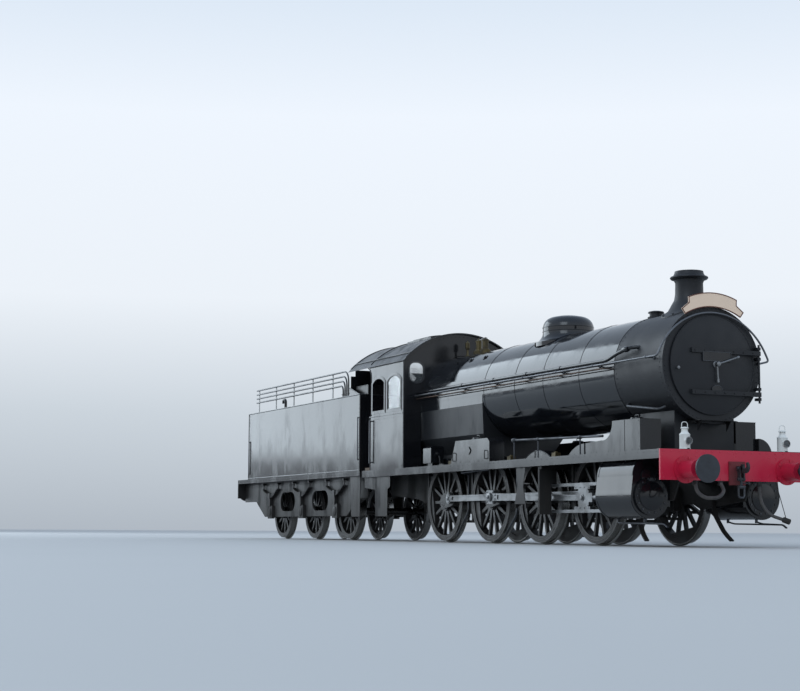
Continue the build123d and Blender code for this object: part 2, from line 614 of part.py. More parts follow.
with BuildPart() as safety_valves:
    for distance in (7640.0, 7900.0):
        bar("Z", back(distance), 0, (BOILER_Z + BOILER_R + SEAT, BOILER_Z + BOILER_R + 60), 105)
        bar("Z", back(distance), 0, (BOILER_Z + BOILER_R + 50, BOILER_Z + BOILER_R + 250), 58)
save(safety_valves.part, "safety_valves")

# Cab: front and sides in one sheet, open behind, with an arched roof
ARCH_RISE = ROOF_Z - EAVES_Z
ARCH_R = (CAB_Y**2 + ARCH_RISE**2) / (2 * ARCH_RISE)
ARCH_Z = ROOF_Z - ARCH_R
with BuildPart() as cab:
    with BuildSketch(end_plane(back(CAB_BACK[0] + SHEET))):
        with BuildLine():
            Polyline((CAB_Y, EAVES_Z), (CAB_Y, DECK_SEAT), (-CAB_Y, DECK_SEAT), (-CAB_Y, EAVES_Z))
            ThreePointArc((-CAB_Y, EAVES_Z), (0, ROOF_Z), (CAB_Y, EAVES_Z))
        make_face()
        with Locations((0, BOILER_Z)):
            Circle(BOILER_R + SEAT, mode=Mode.SUBTRACT)
        with Locations((0, BOILER_Z - 700)):
            Rectangle(2 * (BOILER_R + SEAT), 1400, mode=Mode.SUBTRACT)
        for side in SIDES:
            with Locations((side * 960, RAIL + 3150)):
                RectangleRounded(300, 380, 120, mode=Mode.SUBTRACT)
    extrude(amount=SHEET)
    for side in SIDES:
        y = across(CAB_Y - SHEET, CAB_Y, side)
        with BuildSketch(side_plane(y[1])):
            with BuildLine():
                Polyline((back(CAB_BACK[0]), EAVES_Z), (back(CAB_BACK[0]), DECK_SEAT), (back(CAB_BACK[1]), DECK_SEAT),
                         (back(CAB_BACK[1]), RAIL + 2400), (back(10130), RAIL + 2400), (back(10130), RAIL + 3150))
                ThreePointArc((back(10130), RAIL + 3150), (back(10180), RAIL + 3300), (back(10330), EAVES_Z))
                Line((back(10330), EAVES_Z), (back(CAB_BACK[0]), EAVES_Z))
            make_face()
            for near, far in SIDE_WINDOWS:
                with BuildLine():
                    Polyline((back(near), SPRING_Z), (back(near), SILL_Z), (back(far), SILL_Z), (back(far), SPRING_Z))
                    ThreePointArc((back(far), SPRING_Z), (back((near + far) / 2), WINDOW_TOP_Z), (back(near), SPRING_Z))
                make_face(mode=Mode.SUBTRACT)
        slab(y)
save(cab.part, "cab")

with BuildPart() as cab_roof:
    with BuildSketch(end_plane(back(ROOF_BACK[1]))):
        with Locations((0, ARCH_Z)):
            Circle(ARCH_R + SEAT + SHEET)
            Circle(ARCH_R + SEAT, mode=Mode.SUBTRACT)
        with Locations((0, EAVES_Z - ARCH_R - 30)):
            Rectangle(3 * ARCH_R, 2 * ARCH_R, mode=Mode.SUBTRACT)
    extrude(amount=ROOF_BACK[1] - ROOF_BACK[0])
save(cab_roof.part, "cab_roof")

with BuildPart() as cab_floor:
    block(span(FIREBOX_BACK[1] + SEAT, DRAG_BACK), (-FRAME_Y[0] + 11, FRAME_Y[0] - 11), (DECK_LOW, DECK_Z))
    block(span(FIREBOX_BACK[1] + SEAT, DRAG_BACK), (-CAB_Y + SHEET + SEAT, CAB_Y - SHEET - SEAT),
          (DECK_SEAT, DECK_Z + 60))
save(cab_floor.part, "cab_floor")

# Tender frame, tank and rails
TENDER_END = BEAM_TO_BEAM - BEAM_T - SEAT
AXLEGUARD_CUTS = (13105.0, 15035.0)
SOLEBAR_TOP = DECK_LOW - SEAT
with BuildPart() as tender_frame:
    for side in SIDES:
        y = across(*SOLEBAR_Y, side)
        with BuildSketch(side_plane(y[1])):
            outline(
                (back(TENDER_BACK), SOLEBAR_TOP), (back(TENDER_END), SOLEBAR_TOP),
                (back(TENDER_END), SOLEBAR_LOW + 350),
                (back(17100), SOLEBAR_LOW + 350), (back(16500), SOLEBAR_LOW), (back(11640), SOLEBAR_LOW),
                (back(11050), SOLEBAR_LOW + 350), (back(TENDER_BACK), SOLEBAR_LOW + 350),
            )
            for distance in AXLEGUARD_CUTS:
                with Locations((back(distance), SOLEBAR_LOW + 330)):
                    SlotOverall(900, 420, mode=Mode.SUBTRACT)
        slab(y)
        for distance in CARRIER_BACKS:
            block(span(distance - 130, distance + 130), across(WHEEL_OUT + 40, SOLEBAR_Y[0], side),
                  (CARRIER_Z - 120, CARRIER_Z + 150))
            bar("Y", back(distance), across(SOLEBAR_Y[0], SOLEBAR_Y[1] + 60, side), CARRIER_Z, 110)
            bar("Y", back(distance), across(WHEEL_OUT + 39, SOLEBAR_Y[0] + 20, side), CARRIER_Z,
                CARRIER_AXLE_R + FIT, Mode.SUBTRACT)
save(tender_frame.part, "tender_frame")

# The tender's plate with its valances, and the stretchers between the outside frames
with BuildPart() as tender_deck:
    for distance in (TENDER_BACK, *AXLEGUARD_CUTS, TENDER_END - BEAM_T):
        block(span(distance, distance + BEAM_T), (SEAT - SOLEBAR_Y[0], SOLEBAR_Y[0] - SEAT), (DECK_Z - 300, DECK_LOW))
    block(span(TENDER_BACK, TENDER_END), (-DECK_Y, DECK_Y), (DECK_LOW, DECK_Z))
    for side in SIDES:
        block(span(TENDER_BACK, TENDER_END), across(DECK_Y - 12, DECK_Y, side), (DECK_Z - 90, DECK_LOW))
save(tender_deck.part, "tender_deck")

with BuildPart() as tender_tank:
    block(span(*TANK_BACK), (-TANK_Y, TANK_Y), (DECK_SEAT, TANK_TOP))
    with BuildSketch(side_plane(COAL_Y)):
        outline((back(COAL_BACK[0]), TANK_TOP + 1), (back(COAL_BACK[0]), TANK_TOP - COAL_DEPTH),
                (back(12600), TANK_TOP - COAL_DEPTH), (back(COAL_BACK[1]), TANK_TOP + 1))
    extrude(amount=2 * COAL_Y, mode=Mode.SUBTRACT)
save(tender_tank.part, "tender_tank")

with BuildPart() as coal_rails:
    for side in SIDES:
        for z in RAIL_HEIGHTS:
            pipe([(back(12150), side * RAIL_Y, RAIL + z), (back(17150), side * RAIL_Y, RAIL + z)], 18)
        for distance in (12250.0, 13450.0, 14650.0, 15850.0, 17050.0):
            block(span(distance - 25, distance + 25), across(RAIL_Y - 26, RAIL_Y - 14, side),
                  (TANK_TOP + SEAT, RAIL + RAIL_HEIGHTS[-1]))
save(coal_rails.part, "coal_rails")

with BuildPart() as tender_beam:
    block(span(TENDER_END + SEAT, BEAM_TO_BEAM), (-DECK_Y, DECK_Y), (DECK_Z - BEAM_DEPTH, DECK_Z))
save(tender_beam.part, "tender_beam")


# Buffers at both ends
def buffers(name, face, way):
    """A pair of buffers on the beam whose face is at that X, pointing forward or back."""
    near, tip = face + way * SEAT, face + way * BUFFER_REACH
    with BuildPart() as pair:
        for side in SIDES:
            bar("X", (near, near + way * 25), side * BUFFER_Y, BUFFER_Z, 190)
            bar("X", (near, near + way * 320), side * BUFFER_Y, BUFFER_Z, 125)
            bar("X", (near, tip - way * 10), side * BUFFER_Y, BUFFER_Z, 62)
            bar("X", (tip - way * 28, tip), side * BUFFER_Y, BUFFER_Z, BUFFER_HEAD_R)
    save(pair.part, name)


buffers("front_buffers", back(0), 1)
buffers("tender_buffers", back(BEAM_TO_BEAM), -1)
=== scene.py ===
"""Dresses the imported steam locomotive: finishes, rivets, fittings, floor, light and camera."""

import logging
import math
from dataclasses import dataclass
from enum import Enum
from typing import Sequence

import bmesh
import bpy
from mathutils import Matrix, Vector


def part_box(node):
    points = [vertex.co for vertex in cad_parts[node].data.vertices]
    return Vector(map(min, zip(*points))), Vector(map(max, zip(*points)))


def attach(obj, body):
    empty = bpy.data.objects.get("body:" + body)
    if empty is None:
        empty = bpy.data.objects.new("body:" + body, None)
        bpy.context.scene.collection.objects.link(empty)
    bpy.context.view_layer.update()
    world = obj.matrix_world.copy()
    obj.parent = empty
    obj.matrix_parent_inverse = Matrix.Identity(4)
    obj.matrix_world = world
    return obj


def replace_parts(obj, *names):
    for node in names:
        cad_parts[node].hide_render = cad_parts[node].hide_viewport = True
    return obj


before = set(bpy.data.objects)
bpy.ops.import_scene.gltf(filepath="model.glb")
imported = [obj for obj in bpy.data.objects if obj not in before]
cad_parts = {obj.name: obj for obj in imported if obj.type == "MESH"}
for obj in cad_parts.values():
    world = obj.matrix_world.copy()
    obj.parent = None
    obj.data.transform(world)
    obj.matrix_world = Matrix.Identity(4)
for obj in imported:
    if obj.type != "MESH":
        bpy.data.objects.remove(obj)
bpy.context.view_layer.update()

log = logging.getLogger("locomotive")

Colour = tuple[float, float, float]
Point = tuple[float, float, float]
Pair = tuple[float, float]

# metres; the engine's right side is -1 and its left 1
SIDES = (-1, 1)
NOSE = 8.95
RAIL = 0.028
DECK = RAIL + 1.34
BOILER_Z = RAIL + 2.61


def back(distance: float) -> float:
    """X of a place that many metres behind the front buffer beam."""
    return NOSE - distance


def at(distance: float, y: float, height: float) -> Point:
    """A place that many metres behind the front beam and above the rail."""
    return back(distance), y, RAIL + height


class Val:
    """A shader socket on which arithmetic adds its Math nodes."""

    def __init__(self, shop: "Shop", socket: bpy.types.NodeSocket) -> None:
        """Keeps the socket and the shop that makes nodes for it."""
        self.shop = shop
        self.socket = socket

    def _math(self, operation: str, *values: "Val | float") -> "Val":
        """One Math node on these values."""
        return self.shop.node("ShaderNodeMath", {"operation": operation}, *values)

    def __add__(self, other: "Val | float") -> "Val":
        """Their sum."""
        return self._math("ADD", self, other)

    __radd__ = __add__

    def __sub__(self, other: "Val | float") -> "Val":
        """Their difference."""
        return self._math("SUBTRACT", self, other)

    def __rsub__(self, other: "Val | float") -> "Val":
        """Their difference, turned round."""
        return self._math("SUBTRACT", other, self)

    def __mul__(self, other: "Val | float") -> "Val":
        """Their product."""
        return self._math("MULTIPLY", self, other)

    __rmul__ = __mul__

    def __truediv__(self, other: "Val | float") -> "Val":
        """Their quotient."""
        return self._math("DIVIDE", self, other)

    def __gt__(self, other: "Val | float") -> "Val":
        """1 where it is larger."""
        return self._math("GREATER_THAN", self, other)

    def __lt__(self, other: "Val | float") -> "Val":
        """1 where it is smaller."""
        return self._math("LESS_THAN", self, other)

    def root(self) -> "Val":
        """Its square root."""
        return self._math("SQRT", self)

    def most(self, other: "Val | float") -> "Val":
        """The larger of the two."""
        return self._math("MAXIMUM", self, other)

    def span(self, low: float, high: float, to_low: float = 0.0, to_high: float = 1.0) -> "Val":
        """Maps one range onto another, clamped and smooth.

        Args:
            low: where the range starts.
            high: where it ends.
            to_low: the value there at the start.
            to_high: the value there at the end.

        Returns:
            The mapped value.
        """
        return self.shop.node(
            "ShaderNodeMapRange", {"interpolation_type": "SMOOTHSTEP"}, self, low, high, to_low, to_high
        )


class Shop:
    """Makes one material's nodes."""

    def __init__(self, name: str) -> None:
        """Starts an empty material.

        Args:
            name: the material's name.
        """
        self.material = bpy.data.materials.new(name)
        self.material.use_nodes = True
        self.tree = self.material.node_tree
        self.tree.nodes.clear()

    def node(self, kind: str, settings: dict | None = None, *values, output: int | str = 0, **named) -> Val:
        """Adds a node.

        Args:
            kind: the node's type.
            settings: its properties, set before its sockets.
            values: values or links for its first inputs, in order; None leaves one alone.
            output: the output that is returned.
            named: values or links by input name, with _ for a space.

        Returns:
            The chosen output.
        """
        made = self.tree.nodes.new(kind)
        for key, value in (settings or {}).items():
            setattr(made, key, value)
        sockets = [(made.inputs[i], v) for i, v in enumerate(values) if v is not None]
        sockets += [(made.inputs[key.replace("_", " ")], v) for key, v in named.items()]
        for socket, value in sockets:
            if isinstance(value, Val):
                self.tree.links.new(value.socket, socket)
            else:
                socket.default_value = value
        return Val(self, made.outputs[output])

    def place(self, scale: Point) -> Val:
        """Object coordinates, stretched."""
        spot = self.node("ShaderNodeTexCoord", output="Object")
        return self.node("ShaderNodeMapping", None, spot, None, None, scale)

    def axis(self, name: str) -> Val:
        """One of the object coordinates, X, Y or Z."""
        spot = self.node("ShaderNodeTexCoord", output="Object")
        return self.node("ShaderNodeSeparateXYZ", None, spot, output=name)

    def facing(self, name: str) -> Val:
        """One component of the surface's normal, X, Y or Z."""
        normal = self.node("ShaderNodeNewGeometry", output="Normal")
        return self.node("ShaderNodeSeparateXYZ", None, normal, output=name)

    def noise(self, scale: float, stretch: Point = (1.0, 1.0, 1.0), detail: float = 4.0,
              rough: float = 0.55) -> Val:
        """A noise texture's value.

        Args:
            scale: how fine it is.
            stretch: how its coordinates are scaled, small where it is drawn out.
            detail: its octaves.
            rough: how strong the finer ones are.

        Returns:
            Its value, 0 to 1.
        """
        return self.node(
            "ShaderNodeTexNoise", None, Vector=self.place(stretch), Scale=scale, Detail=detail,
            Roughness=rough
        )

    def mix(self, factor: Val | float, low: "Val | Colour", high: "Val | Colour") -> Val:
        """A colour between two colours.

        Args:
            factor: how far towards the second, 0 to 1.
            low: the first colour.
            high: the second colour.

        Returns:
            The mixed colour.
        """
        made = self.tree.nodes.new("ShaderNodeMix")
        made.data_type = "RGBA"
        for socket, value in ((made.inputs[0], factor), (made.inputs[6], low), (made.inputs[7], high)):
            if isinstance(value, Val):
                self.tree.links.new(value.socket, socket)
            else:
                socket.default_value = (*value, 1.0) if isinstance(value, tuple) else value
        return Val(self, made.outputs[2])

    def bump(self, height: Val, distance: float, strength: float = 1.0) -> Val:
        """A normal from a height, whose full step is that many metres."""
        return self.node("ShaderNodeBump", None, Height=height, Distance=distance, Strength=strength)

    def finish(self, **sockets) -> bpy.types.Material:
        """Closes the material with one Principled shader.

        Args:
            sockets: its inputs by name, with _ for a space.

        Returns:
            The finished material.
        """
        shader = self.node("ShaderNodeBsdfPrincipled", None, **sockets)
        end = self.tree.nodes.new("ShaderNodeOutputMaterial")
        self.tree.links.new(shader.socket, end.inputs["Surface"])
        return self.material


@dataclass(frozen=True)
class Paint:
    """Painted metal with grime that gathers low down, on ledges and in streaks.

    gloss is the clean paint's roughness, shine its specular level, grime how dirty it is and coat the
    varnish.
    """

    name: str
    colour: Colour
    gloss: float = 0.12
    shine: float = 0.32
    coat: float = 0.0
    grime: float = 0.4
    dust: Colour = (0.055, 0.048, 0.041)
    dust_top: float = 1.9
    ripple: float = 0.0012
    fade: float = 0.5
    dull_below: float = 0.0

    def make(self) -> bpy.types.Material:
        """Builds the material.

        Returns:
            The finished material.
        """
        s = Shop(self.name)
        cloud = s.noise(1.7, detail=6.0)
        fine = s.noise(38.0, detail=5.0, rough=0.65)
        streak = s.noise(6.0, (1.0, 1.0, 0.09), detail=6.0, rough=0.6)
        smear = s.noise(2.6, (1.0, 1.0, 0.35), detail=7.0, rough=0.66)
        speck = s.noise(160.0, detail=2.0)
        height = s.axis("Z")
        low = height.span(self.dust_top, self.dust_top - 1.5)
        ledge = s.facing("Z").span(0.55, 0.98)
        wet = streak.span(0.45, 0.72) * cloud.span(0.35, 0.65)
        dirt = (low * 0.55 + ledge * 0.45 + wet * 0.35 + fine.span(0.52, 0.8) * 0.25) * self.grime
        dirt = dirt.span(0.02, 0.75)
        pale = tuple(min(1.0, c * (1.0 + self.fade) + 0.002) for c in self.colour)
        clean = s.mix(cloud.span(0.3, 0.7) * 0.6 + fine * 0.2, self.colour, pale)
        base = s.mix(dirt * 0.85, clean, self.dust)
        smudge = smear.span(0.46, 0.66) * (0.10 + 0.25 * self.grime)
        if self.dull_below:
            smudge = smudge + (height < self.dull_below) * 0.42
        rough = cloud.span(0.3, 0.75, self.gloss, self.gloss + 0.05) + fine.span(0.5, 0.8) * 0.03 + dirt * 0.4
        # rolled sheet is never flat, and brushed varnish has a fine grain
        relief = s.noise(2.3, detail=2.0) * 1.0 + fine * 0.02 + speck * 0.008 * (1.0 + dirt)
        coat = {"Coat_Weight": (1.0 - dirt) * self.coat, "Coat_Roughness": 0.08} if self.coat else {}
        return s.finish(
            Base_Color=base,
            Roughness=rough + smudge,
            Specular_IOR_Level=self.shine,
            Normal=s.bump(relief, self.ripple, 0.6),
            **coat,
        )


@dataclass(frozen=True)
class Soot:
    """Heat-proof matt black with scale, soot and a breath of rust."""

    name: str
    colour: Colour = (0.011, 0.012, 0.0145)
    ash: Colour = (0.040, 0.043, 0.050)
    rust: Colour = (0.07, 0.038, 0.024)

    def make(self) -> bpy.types.Material:
        """Builds the material.

        Returns:
            The finished material.
        """
        s = Shop(self.name)
        cloud = s.noise(2.6, detail=7.0, rough=0.6)
        fine = s.noise(70.0, detail=4.0, rough=0.7)
        streak = s.noise(9.0, (1.0, 1.0, 0.12), detail=6.0)
        ash = s.facing("Z").span(0.15, 0.95) * cloud.span(0.3, 0.7)
        rust = streak.span(0.64, 0.82) * fine.span(0.45, 0.75) * 0.45
        base = s.mix(ash * 0.6 + fine.span(0.5, 0.85) * 0.2, self.colour, self.ash)
        base = s.mix(rust, base, self.rust)
        rough = cloud.span(0.25, 0.75, 0.36, 0.52) + rust * 0.3 + fine * 0.08
        return s.finish(
            Base_Color=base,
            Roughness=rough,
            Specular_IOR_Level=0.38,
            Normal=s.bump(fine * 0.5 + cloud * 1.0, 0.0022, 0.5),
        )


@dataclass(frozen=True)
class Metal:
    """Bare metal with oil, and dull where no cloth has reached."""

    name: str
    colour: Colour
    dull: Colour
    rough: float = 0.3
    wear: float = 0.5
    grain: Point = (1.0, 12.0, 12.0)

    def make(self) -> bpy.types.Material:
        """Builds the material.

        Returns:
            The finished material.
        """
        s = Shop(self.name)
        cloud = s.noise(4.2, detail=6.0, rough=0.6)
        brush = s.noise(60.0, self.grain, detail=3.0, rough=0.7)
        spots = s.noise(42.0, detail=4.0, rough=0.7)
        oil = (cloud.span(0.38, 0.68) * 0.8 + spots.span(0.55, 0.75) * 0.4) * self.wear
        base = s.mix(oil.span(0.0, 0.9), self.colour, self.dull)
        rough = brush.span(0.3, 0.7, self.rough, self.rough + 0.14) + oil * 0.3
        return s.finish(
            Base_Color=base,
            Metallic=1.0 - oil * 0.65,
            Roughness=rough,
            Normal=s.bump(brush * 0.4 + spots * 0.6, 0.0006, 0.4),
        )


@dataclass(frozen=True)
class Buffers:
    """A buffer painted on its housing, dark on its plunger and greased steel on its head.

    split and rim are how far from the beams the paint and the plunger end, in metres.
    """

    name: str
    split: float = 0.327
    rim: float = 0.505
    paint: Colour = (0.50, 0.013, 0.045)
    steel: Colour = (0.045, 0.052, 0.062)

    def make(self) -> bpy.types.Material:
        """Builds the material.

        Returns:
            The finished material.
        """
        s = Shop(self.name)
        cloud = s.noise(5.0, detail=6.0, rough=0.6)
        fine = s.noise(60.0, detail=4.0, rough=0.7)
        along = s.axis("X")
        out = along - NOSE
        red = (out > -0.01) * (out < self.split)
        head = out > self.rim
        grime = cloud.span(0.35, 0.72) * 0.7 + fine.span(0.5, 0.8) * 0.3
        base = s.mix(head, (0.012, 0.012, 0.013), self.steel)
        base = s.mix(red, base, self.paint)
        base = s.mix(grime * (0.5 - red * 0.28), base, (0.022, 0.019, 0.018))
        return s.finish(
            Base_Color=base,
            Metallic=head * 0.4,
            Roughness=0.3 + grime * 0.25,
            Specular_IOR_Level=0.4,
            Normal=s.bump(cloud + fine * 0.4, 0.0012, 0.5),
        )


@dataclass(frozen=True)
class WheelIron:
    """A wheel's dirty black paint, with its tread and flange worn bright.

    x and z are the axle's centre and radius the tread's, in metres.
    """

    name: str
    x: float
    z: float
    radius: float
    colour: Colour = (0.008, 0.008, 0.0085)
    dust: Colour = (0.030, 0.026, 0.023)

    def make(self) -> bpy.types.Material:
        """Builds the material.

        Returns:
            The finished material.
        """
        s = Shop(self.name)
        dx, dz = s.axis("X") - self.x, s.axis("Z") - self.z
        out = (dx * dx + dz * dz).root()
        tread = out.span(self.radius - 0.010, self.radius - 0.004)
        cloud = s.noise(5.0, detail=6.0, rough=0.62)
        fine = s.noise(55.0, detail=4.0, rough=0.7)
        hub = out.span(0.30, 0.12)
        dirt = cloud.span(0.35, 0.72) * 0.75 + fine.span(0.5, 0.8) * 0.3
        base = s.mix(dirt * (1.0 - hub * 0.7), self.colour, self.dust)
        base = s.mix(hub * 0.6, base, (0.012, 0.011, 0.010))
        base = s.mix(tread, base, (0.25, 0.245, 0.235))
        rough = (0.38 + dirt * 0.35 - hub * 0.2) * (1.0 - tread) + tread * 0.26
        return s.finish(
            Base_Color=base,
            Metallic=tread,
            Roughness=rough,
            Normal=s.bump(fine * 0.6 + cloud * 1.0, 0.0016, 0.5),
        )


@dataclass(frozen=True)
class Boards:
    """Worn boards laid across, with grain and coal dust."""

    name: str
    colour: Colour = (0.19, 0.125, 0.075)
    board: float = 0.15

    def make(self) -> bpy.types.Material:
        """Builds the material.

        Returns:
            The finished material.
        """
        s = Shop(self.name)
        grain = s.noise(26.0, (6.0, 0.6, 1.0), detail=6.0, rough=0.65)
        cloud = s.noise(3.0, detail=5.0)
        place = s.axis("X") / self.board
        saw = s.node("ShaderNodeMath", {"operation": "FRACT"}, place)
        gap = saw.span(0.04, 0.0).most(saw.span(0.96, 1.0))
        base = s.mix(grain, tuple(c * 0.45 for c in self.colour), self.colour)
        base = s.mix(cloud.span(0.3, 0.7) * 0.6 + gap * 0.6, base, (0.02, 0.018, 0.016))
        return s.finish(
            Base_Color=base,
            Roughness=grain.span(0.2, 0.8, 0.6, 0.85),
            Normal=s.bump(grain * 0.3 - gap, 0.003, 0.7),
        )


@dataclass(frozen=True)
class Rubber:
    """Ribbed hose rubber under dust."""

    name: str
    colour: Colour = (0.040, 0.038, 0.037)
    dust: Colour = (0.11, 0.098, 0.088)

    def make(self) -> bpy.types.Material:
        """Builds the material.

        Returns:
            The finished material.
        """
        s = Shop(self.name)
        cloud = s.noise(14.0, detail=5.0)
        base = s.mix(cloud.span(0.35, 0.75) * 0.6, self.colour, self.dust)
        return s.finish(Base_Color=base, Roughness=cloud.span(0.2, 0.8, 0.45, 0.7),
                        Normal=s.bump(cloud, 0.001, 0.4))


@dataclass(frozen=True)
class Glass:
    """Window or lens glass with a film of dirt."""

    name: str
    tint: Colour = (0.86, 0.92, 0.93)
    film: float = 0.25
    alpha: float = 0.28

    def make(self) -> bpy.types.Material:
        """Builds the material.

        Returns:
            The finished material.
        """
        s = Shop(self.name)
        film = s.noise(5.0, detail=5.0).span(0.35, 0.8, 0.02, self.film)
        return s.finish(
            Base_Color=s.mix(film, self.tint, (0.5, 0.5, 0.47)),
            Roughness=film * 0.5,
            Transmission_Weight=0.9,
            IOR=1.45,
            Alpha=self.alpha + film,
        )


class Look(Enum):
    """The finishes by name: each one's material, and the record's slot it stands for, if there is one."""

    GLOSS = Paint("gloss_black", (0.006, 0.0065, 0.008), gloss=0.10, shine=0.5, grime=0.14), "black_paint"
    CLADDING = Paint("cladding_black", (0.005, 0.006, 0.008), gloss=0.06, shine=0.6, grime=0.08,
                     ripple=0.0016), "black_paint"
    FIREBOX = Paint("firebox_black", (0.005, 0.006, 0.008), gloss=0.06, shine=0.55, grime=0.08, ripple=0.0016,
                    dull_below=RAIL + 2.4), "black_paint"
    RAIL = Metal("rail_steel", (0.15, 0.155, 0.165), (0.05, 0.048, 0.046), rough=0.28,
                 wear=0.5), "bright_steel"
    RIM = Paint("rim_black", (0.02, 0.021, 0.023), gloss=0.14, shine=0.6, grime=0.3), "black_paint"
    ROOF = Paint("roof_black", (0.013, 0.014, 0.016), gloss=0.24, shine=0.45, grime=0.5), "black_paint"
    RED = Paint("beam_red", (0.51, 0.013, 0.045), gloss=0.27, shine=0.45, coat=0.15, grime=0.36, dust_top=1.3,
                fade=0.12), "red_paint"
    DRAW_RED = Paint("draw_red", (0.21, 0.018, 0.028), gloss=0.4, grime=0.7, dust_top=2.2,
                     fade=0.2), "red_paint"
    FRAME = Paint("sooty_frame", (0.009, 0.009, 0.0095), gloss=0.3, grime=0.85, dust=(0.032, 0.029, 0.026),
                  dust_top=1.8), "frame_black"
    SOOT = Soot("smokebox_black"), "matte_black"
    STEEL = Metal("oiled_steel", (0.23, 0.235, 0.24), (0.05, 0.043, 0.036)), "bright_steel"
    TYRE = Metal("tyre_steel", (0.20, 0.19, 0.18), (0.05, 0.042, 0.036), rough=0.34, wear=0.8), "steel_grey"
    BUFFER = Metal("dark_steel", (0.085, 0.09, 0.10), (0.03, 0.029, 0.029), rough=0.36,
                   wear=0.75), "buffer_steel"
    PLUNGER = Buffers("buffer_paint"), "buffer_steel"
    BRASS = Metal("dull_brass", (0.11, 0.088, 0.045), (0.035, 0.028, 0.018), rough=0.34,
                  wear=0.8), "brass_dull"
    COPPER = Metal("oiled_copper", (0.10, 0.065, 0.048), (0.03, 0.024, 0.022), rough=0.4,
                   wear=0.9), "brass_dull"
    WHITE = Paint("lamp_white", (0.76, 0.76, 0.73), gloss=0.22, coat=0.3, grime=0.2, fade=0.0), ""
    CREAM = Paint("board_cream", (0.86, 0.66, 0.50), gloss=0.4, grime=0.1, fade=0.05), ""
    BROWN = Paint("board_brown", (0.10, 0.028, 0.018), gloss=0.35, grime=0.2, fade=0.2), ""
    TIMBER = Boards("floor_boards"), "timber"
    RUBBER = Rubber("hose_rubber"), ""
    GLASS = Glass("window_glass"), ""
    LENS = Glass("lens_glass", (0.06, 0.07, 0.08), 0.1, 0.85), ""

    @property
    def slot(self) -> str:
        """The record's slot, or nothing."""
        return self.value[1]

    def material(self) -> bpy.types.Material:
        """Its material, made once."""
        maker = self.value[0]
        return bpy.data.materials.get(maker.name) or maker.make()


def spot(plane: str, u: float, v: float, w: float) -> Vector:
    """A point at u, v across an axis and w along it.

    Args:
        plane: the axis, X, Y or Z.
        u: the first of the other two coordinates.
        v: the second.
        w: the place along the axis.

    Returns:
        The point in the object's frame.
    """
    return Vector({"X": (w, u, v), "Y": (u, w, v), "Z": (u, v, w)}[plane])


def arc(u: float, v: float, radius: float, start: float, end: float, steps: int = 12) -> list[Pair]:
    """Points along a circle's arc, its angles in degrees from the first axis."""
    turns = (math.radians(start + (end - start) * i / steps) for i in range(steps + 1))
    return [(u + radius * math.cos(t), v + radius * math.sin(t)) for t in turns]


def circle(u: float, v: float, radius: float, sides: int = 24) -> list[Pair]:
    """Points evenly round a circle, the first not repeated."""
    return arc(u, v, radius, 0.0, 360.0 * (sides - 1) / sides, sides - 1)


def hoop(plane: str, centre: Pair, radius: float, along: float, steps: int) -> list[Vector]:
    """Points evenly round a circle square to an axis.

    Args:
        plane: the axis.
        centre: where it passes, in the other two coordinates.
        radius: the circle's radius.
        along: the circle's place along the axis.
        steps: how many points.

    Returns:
        The points, the first not repeated.
    """
    turns = (2 * math.pi * i / steps for i in range(steps))
    return [spot(plane, centre[0] + radius * math.cos(t), centre[1] + radius * math.sin(t),
                 along) for t in turns]


def inset(outline: Sequence[Pair], depth: float) -> list[Pair]:
    """A closed outline moved square to itself.

    Args:
        outline: its corners in order.
        depth: how far, towards the left-hand side where positive.

    Returns:
        The moved corners, as many as before.
    """
    moved = []
    count = len(outline)
    for i, (u, v) in enumerate(outline):
        before, after = Vector(outline[i - 1]), Vector(outline[(i + 1) % count])
        here = Vector((u, v))
        a, b = (here - before).normalized(), (after - here).normalized()
        sides = Vector((-a.y - b.y, a.x + b.x))
        shift = sides * (depth / max(0.35, 1.0 + a.dot(b)))
        moved.append((u + shift.x, v + shift.y))
    return moved


def rounded(points: Sequence[Point], radius: float, steps: int = 5) -> list[Point]:
    """A line with its inner corners rounded.

    Args:
        points: the line's points.
        radius: how far from a corner its bend starts, less where a stretch is short.
        steps: the stretches in each bend.

    Returns:
        The points of the smoother line.
    """
    line = [Vector(p) for p in points]
    route = [line[0]]
    for before, here, after in zip(line, line[1:], line[2:]):
        a, b = (before - here).normalized(), (after - here).normalized()
        reach = min(radius, (before - here).length * 0.45, (after - here).length * 0.45)
        for i in range(steps + 1):
            t = i / steps
            route.append((here + a * reach).lerp(here, t).lerp(here.lerp(here + b * reach, t), t))
    return [tuple(p) for p in route + [line[-1]]]


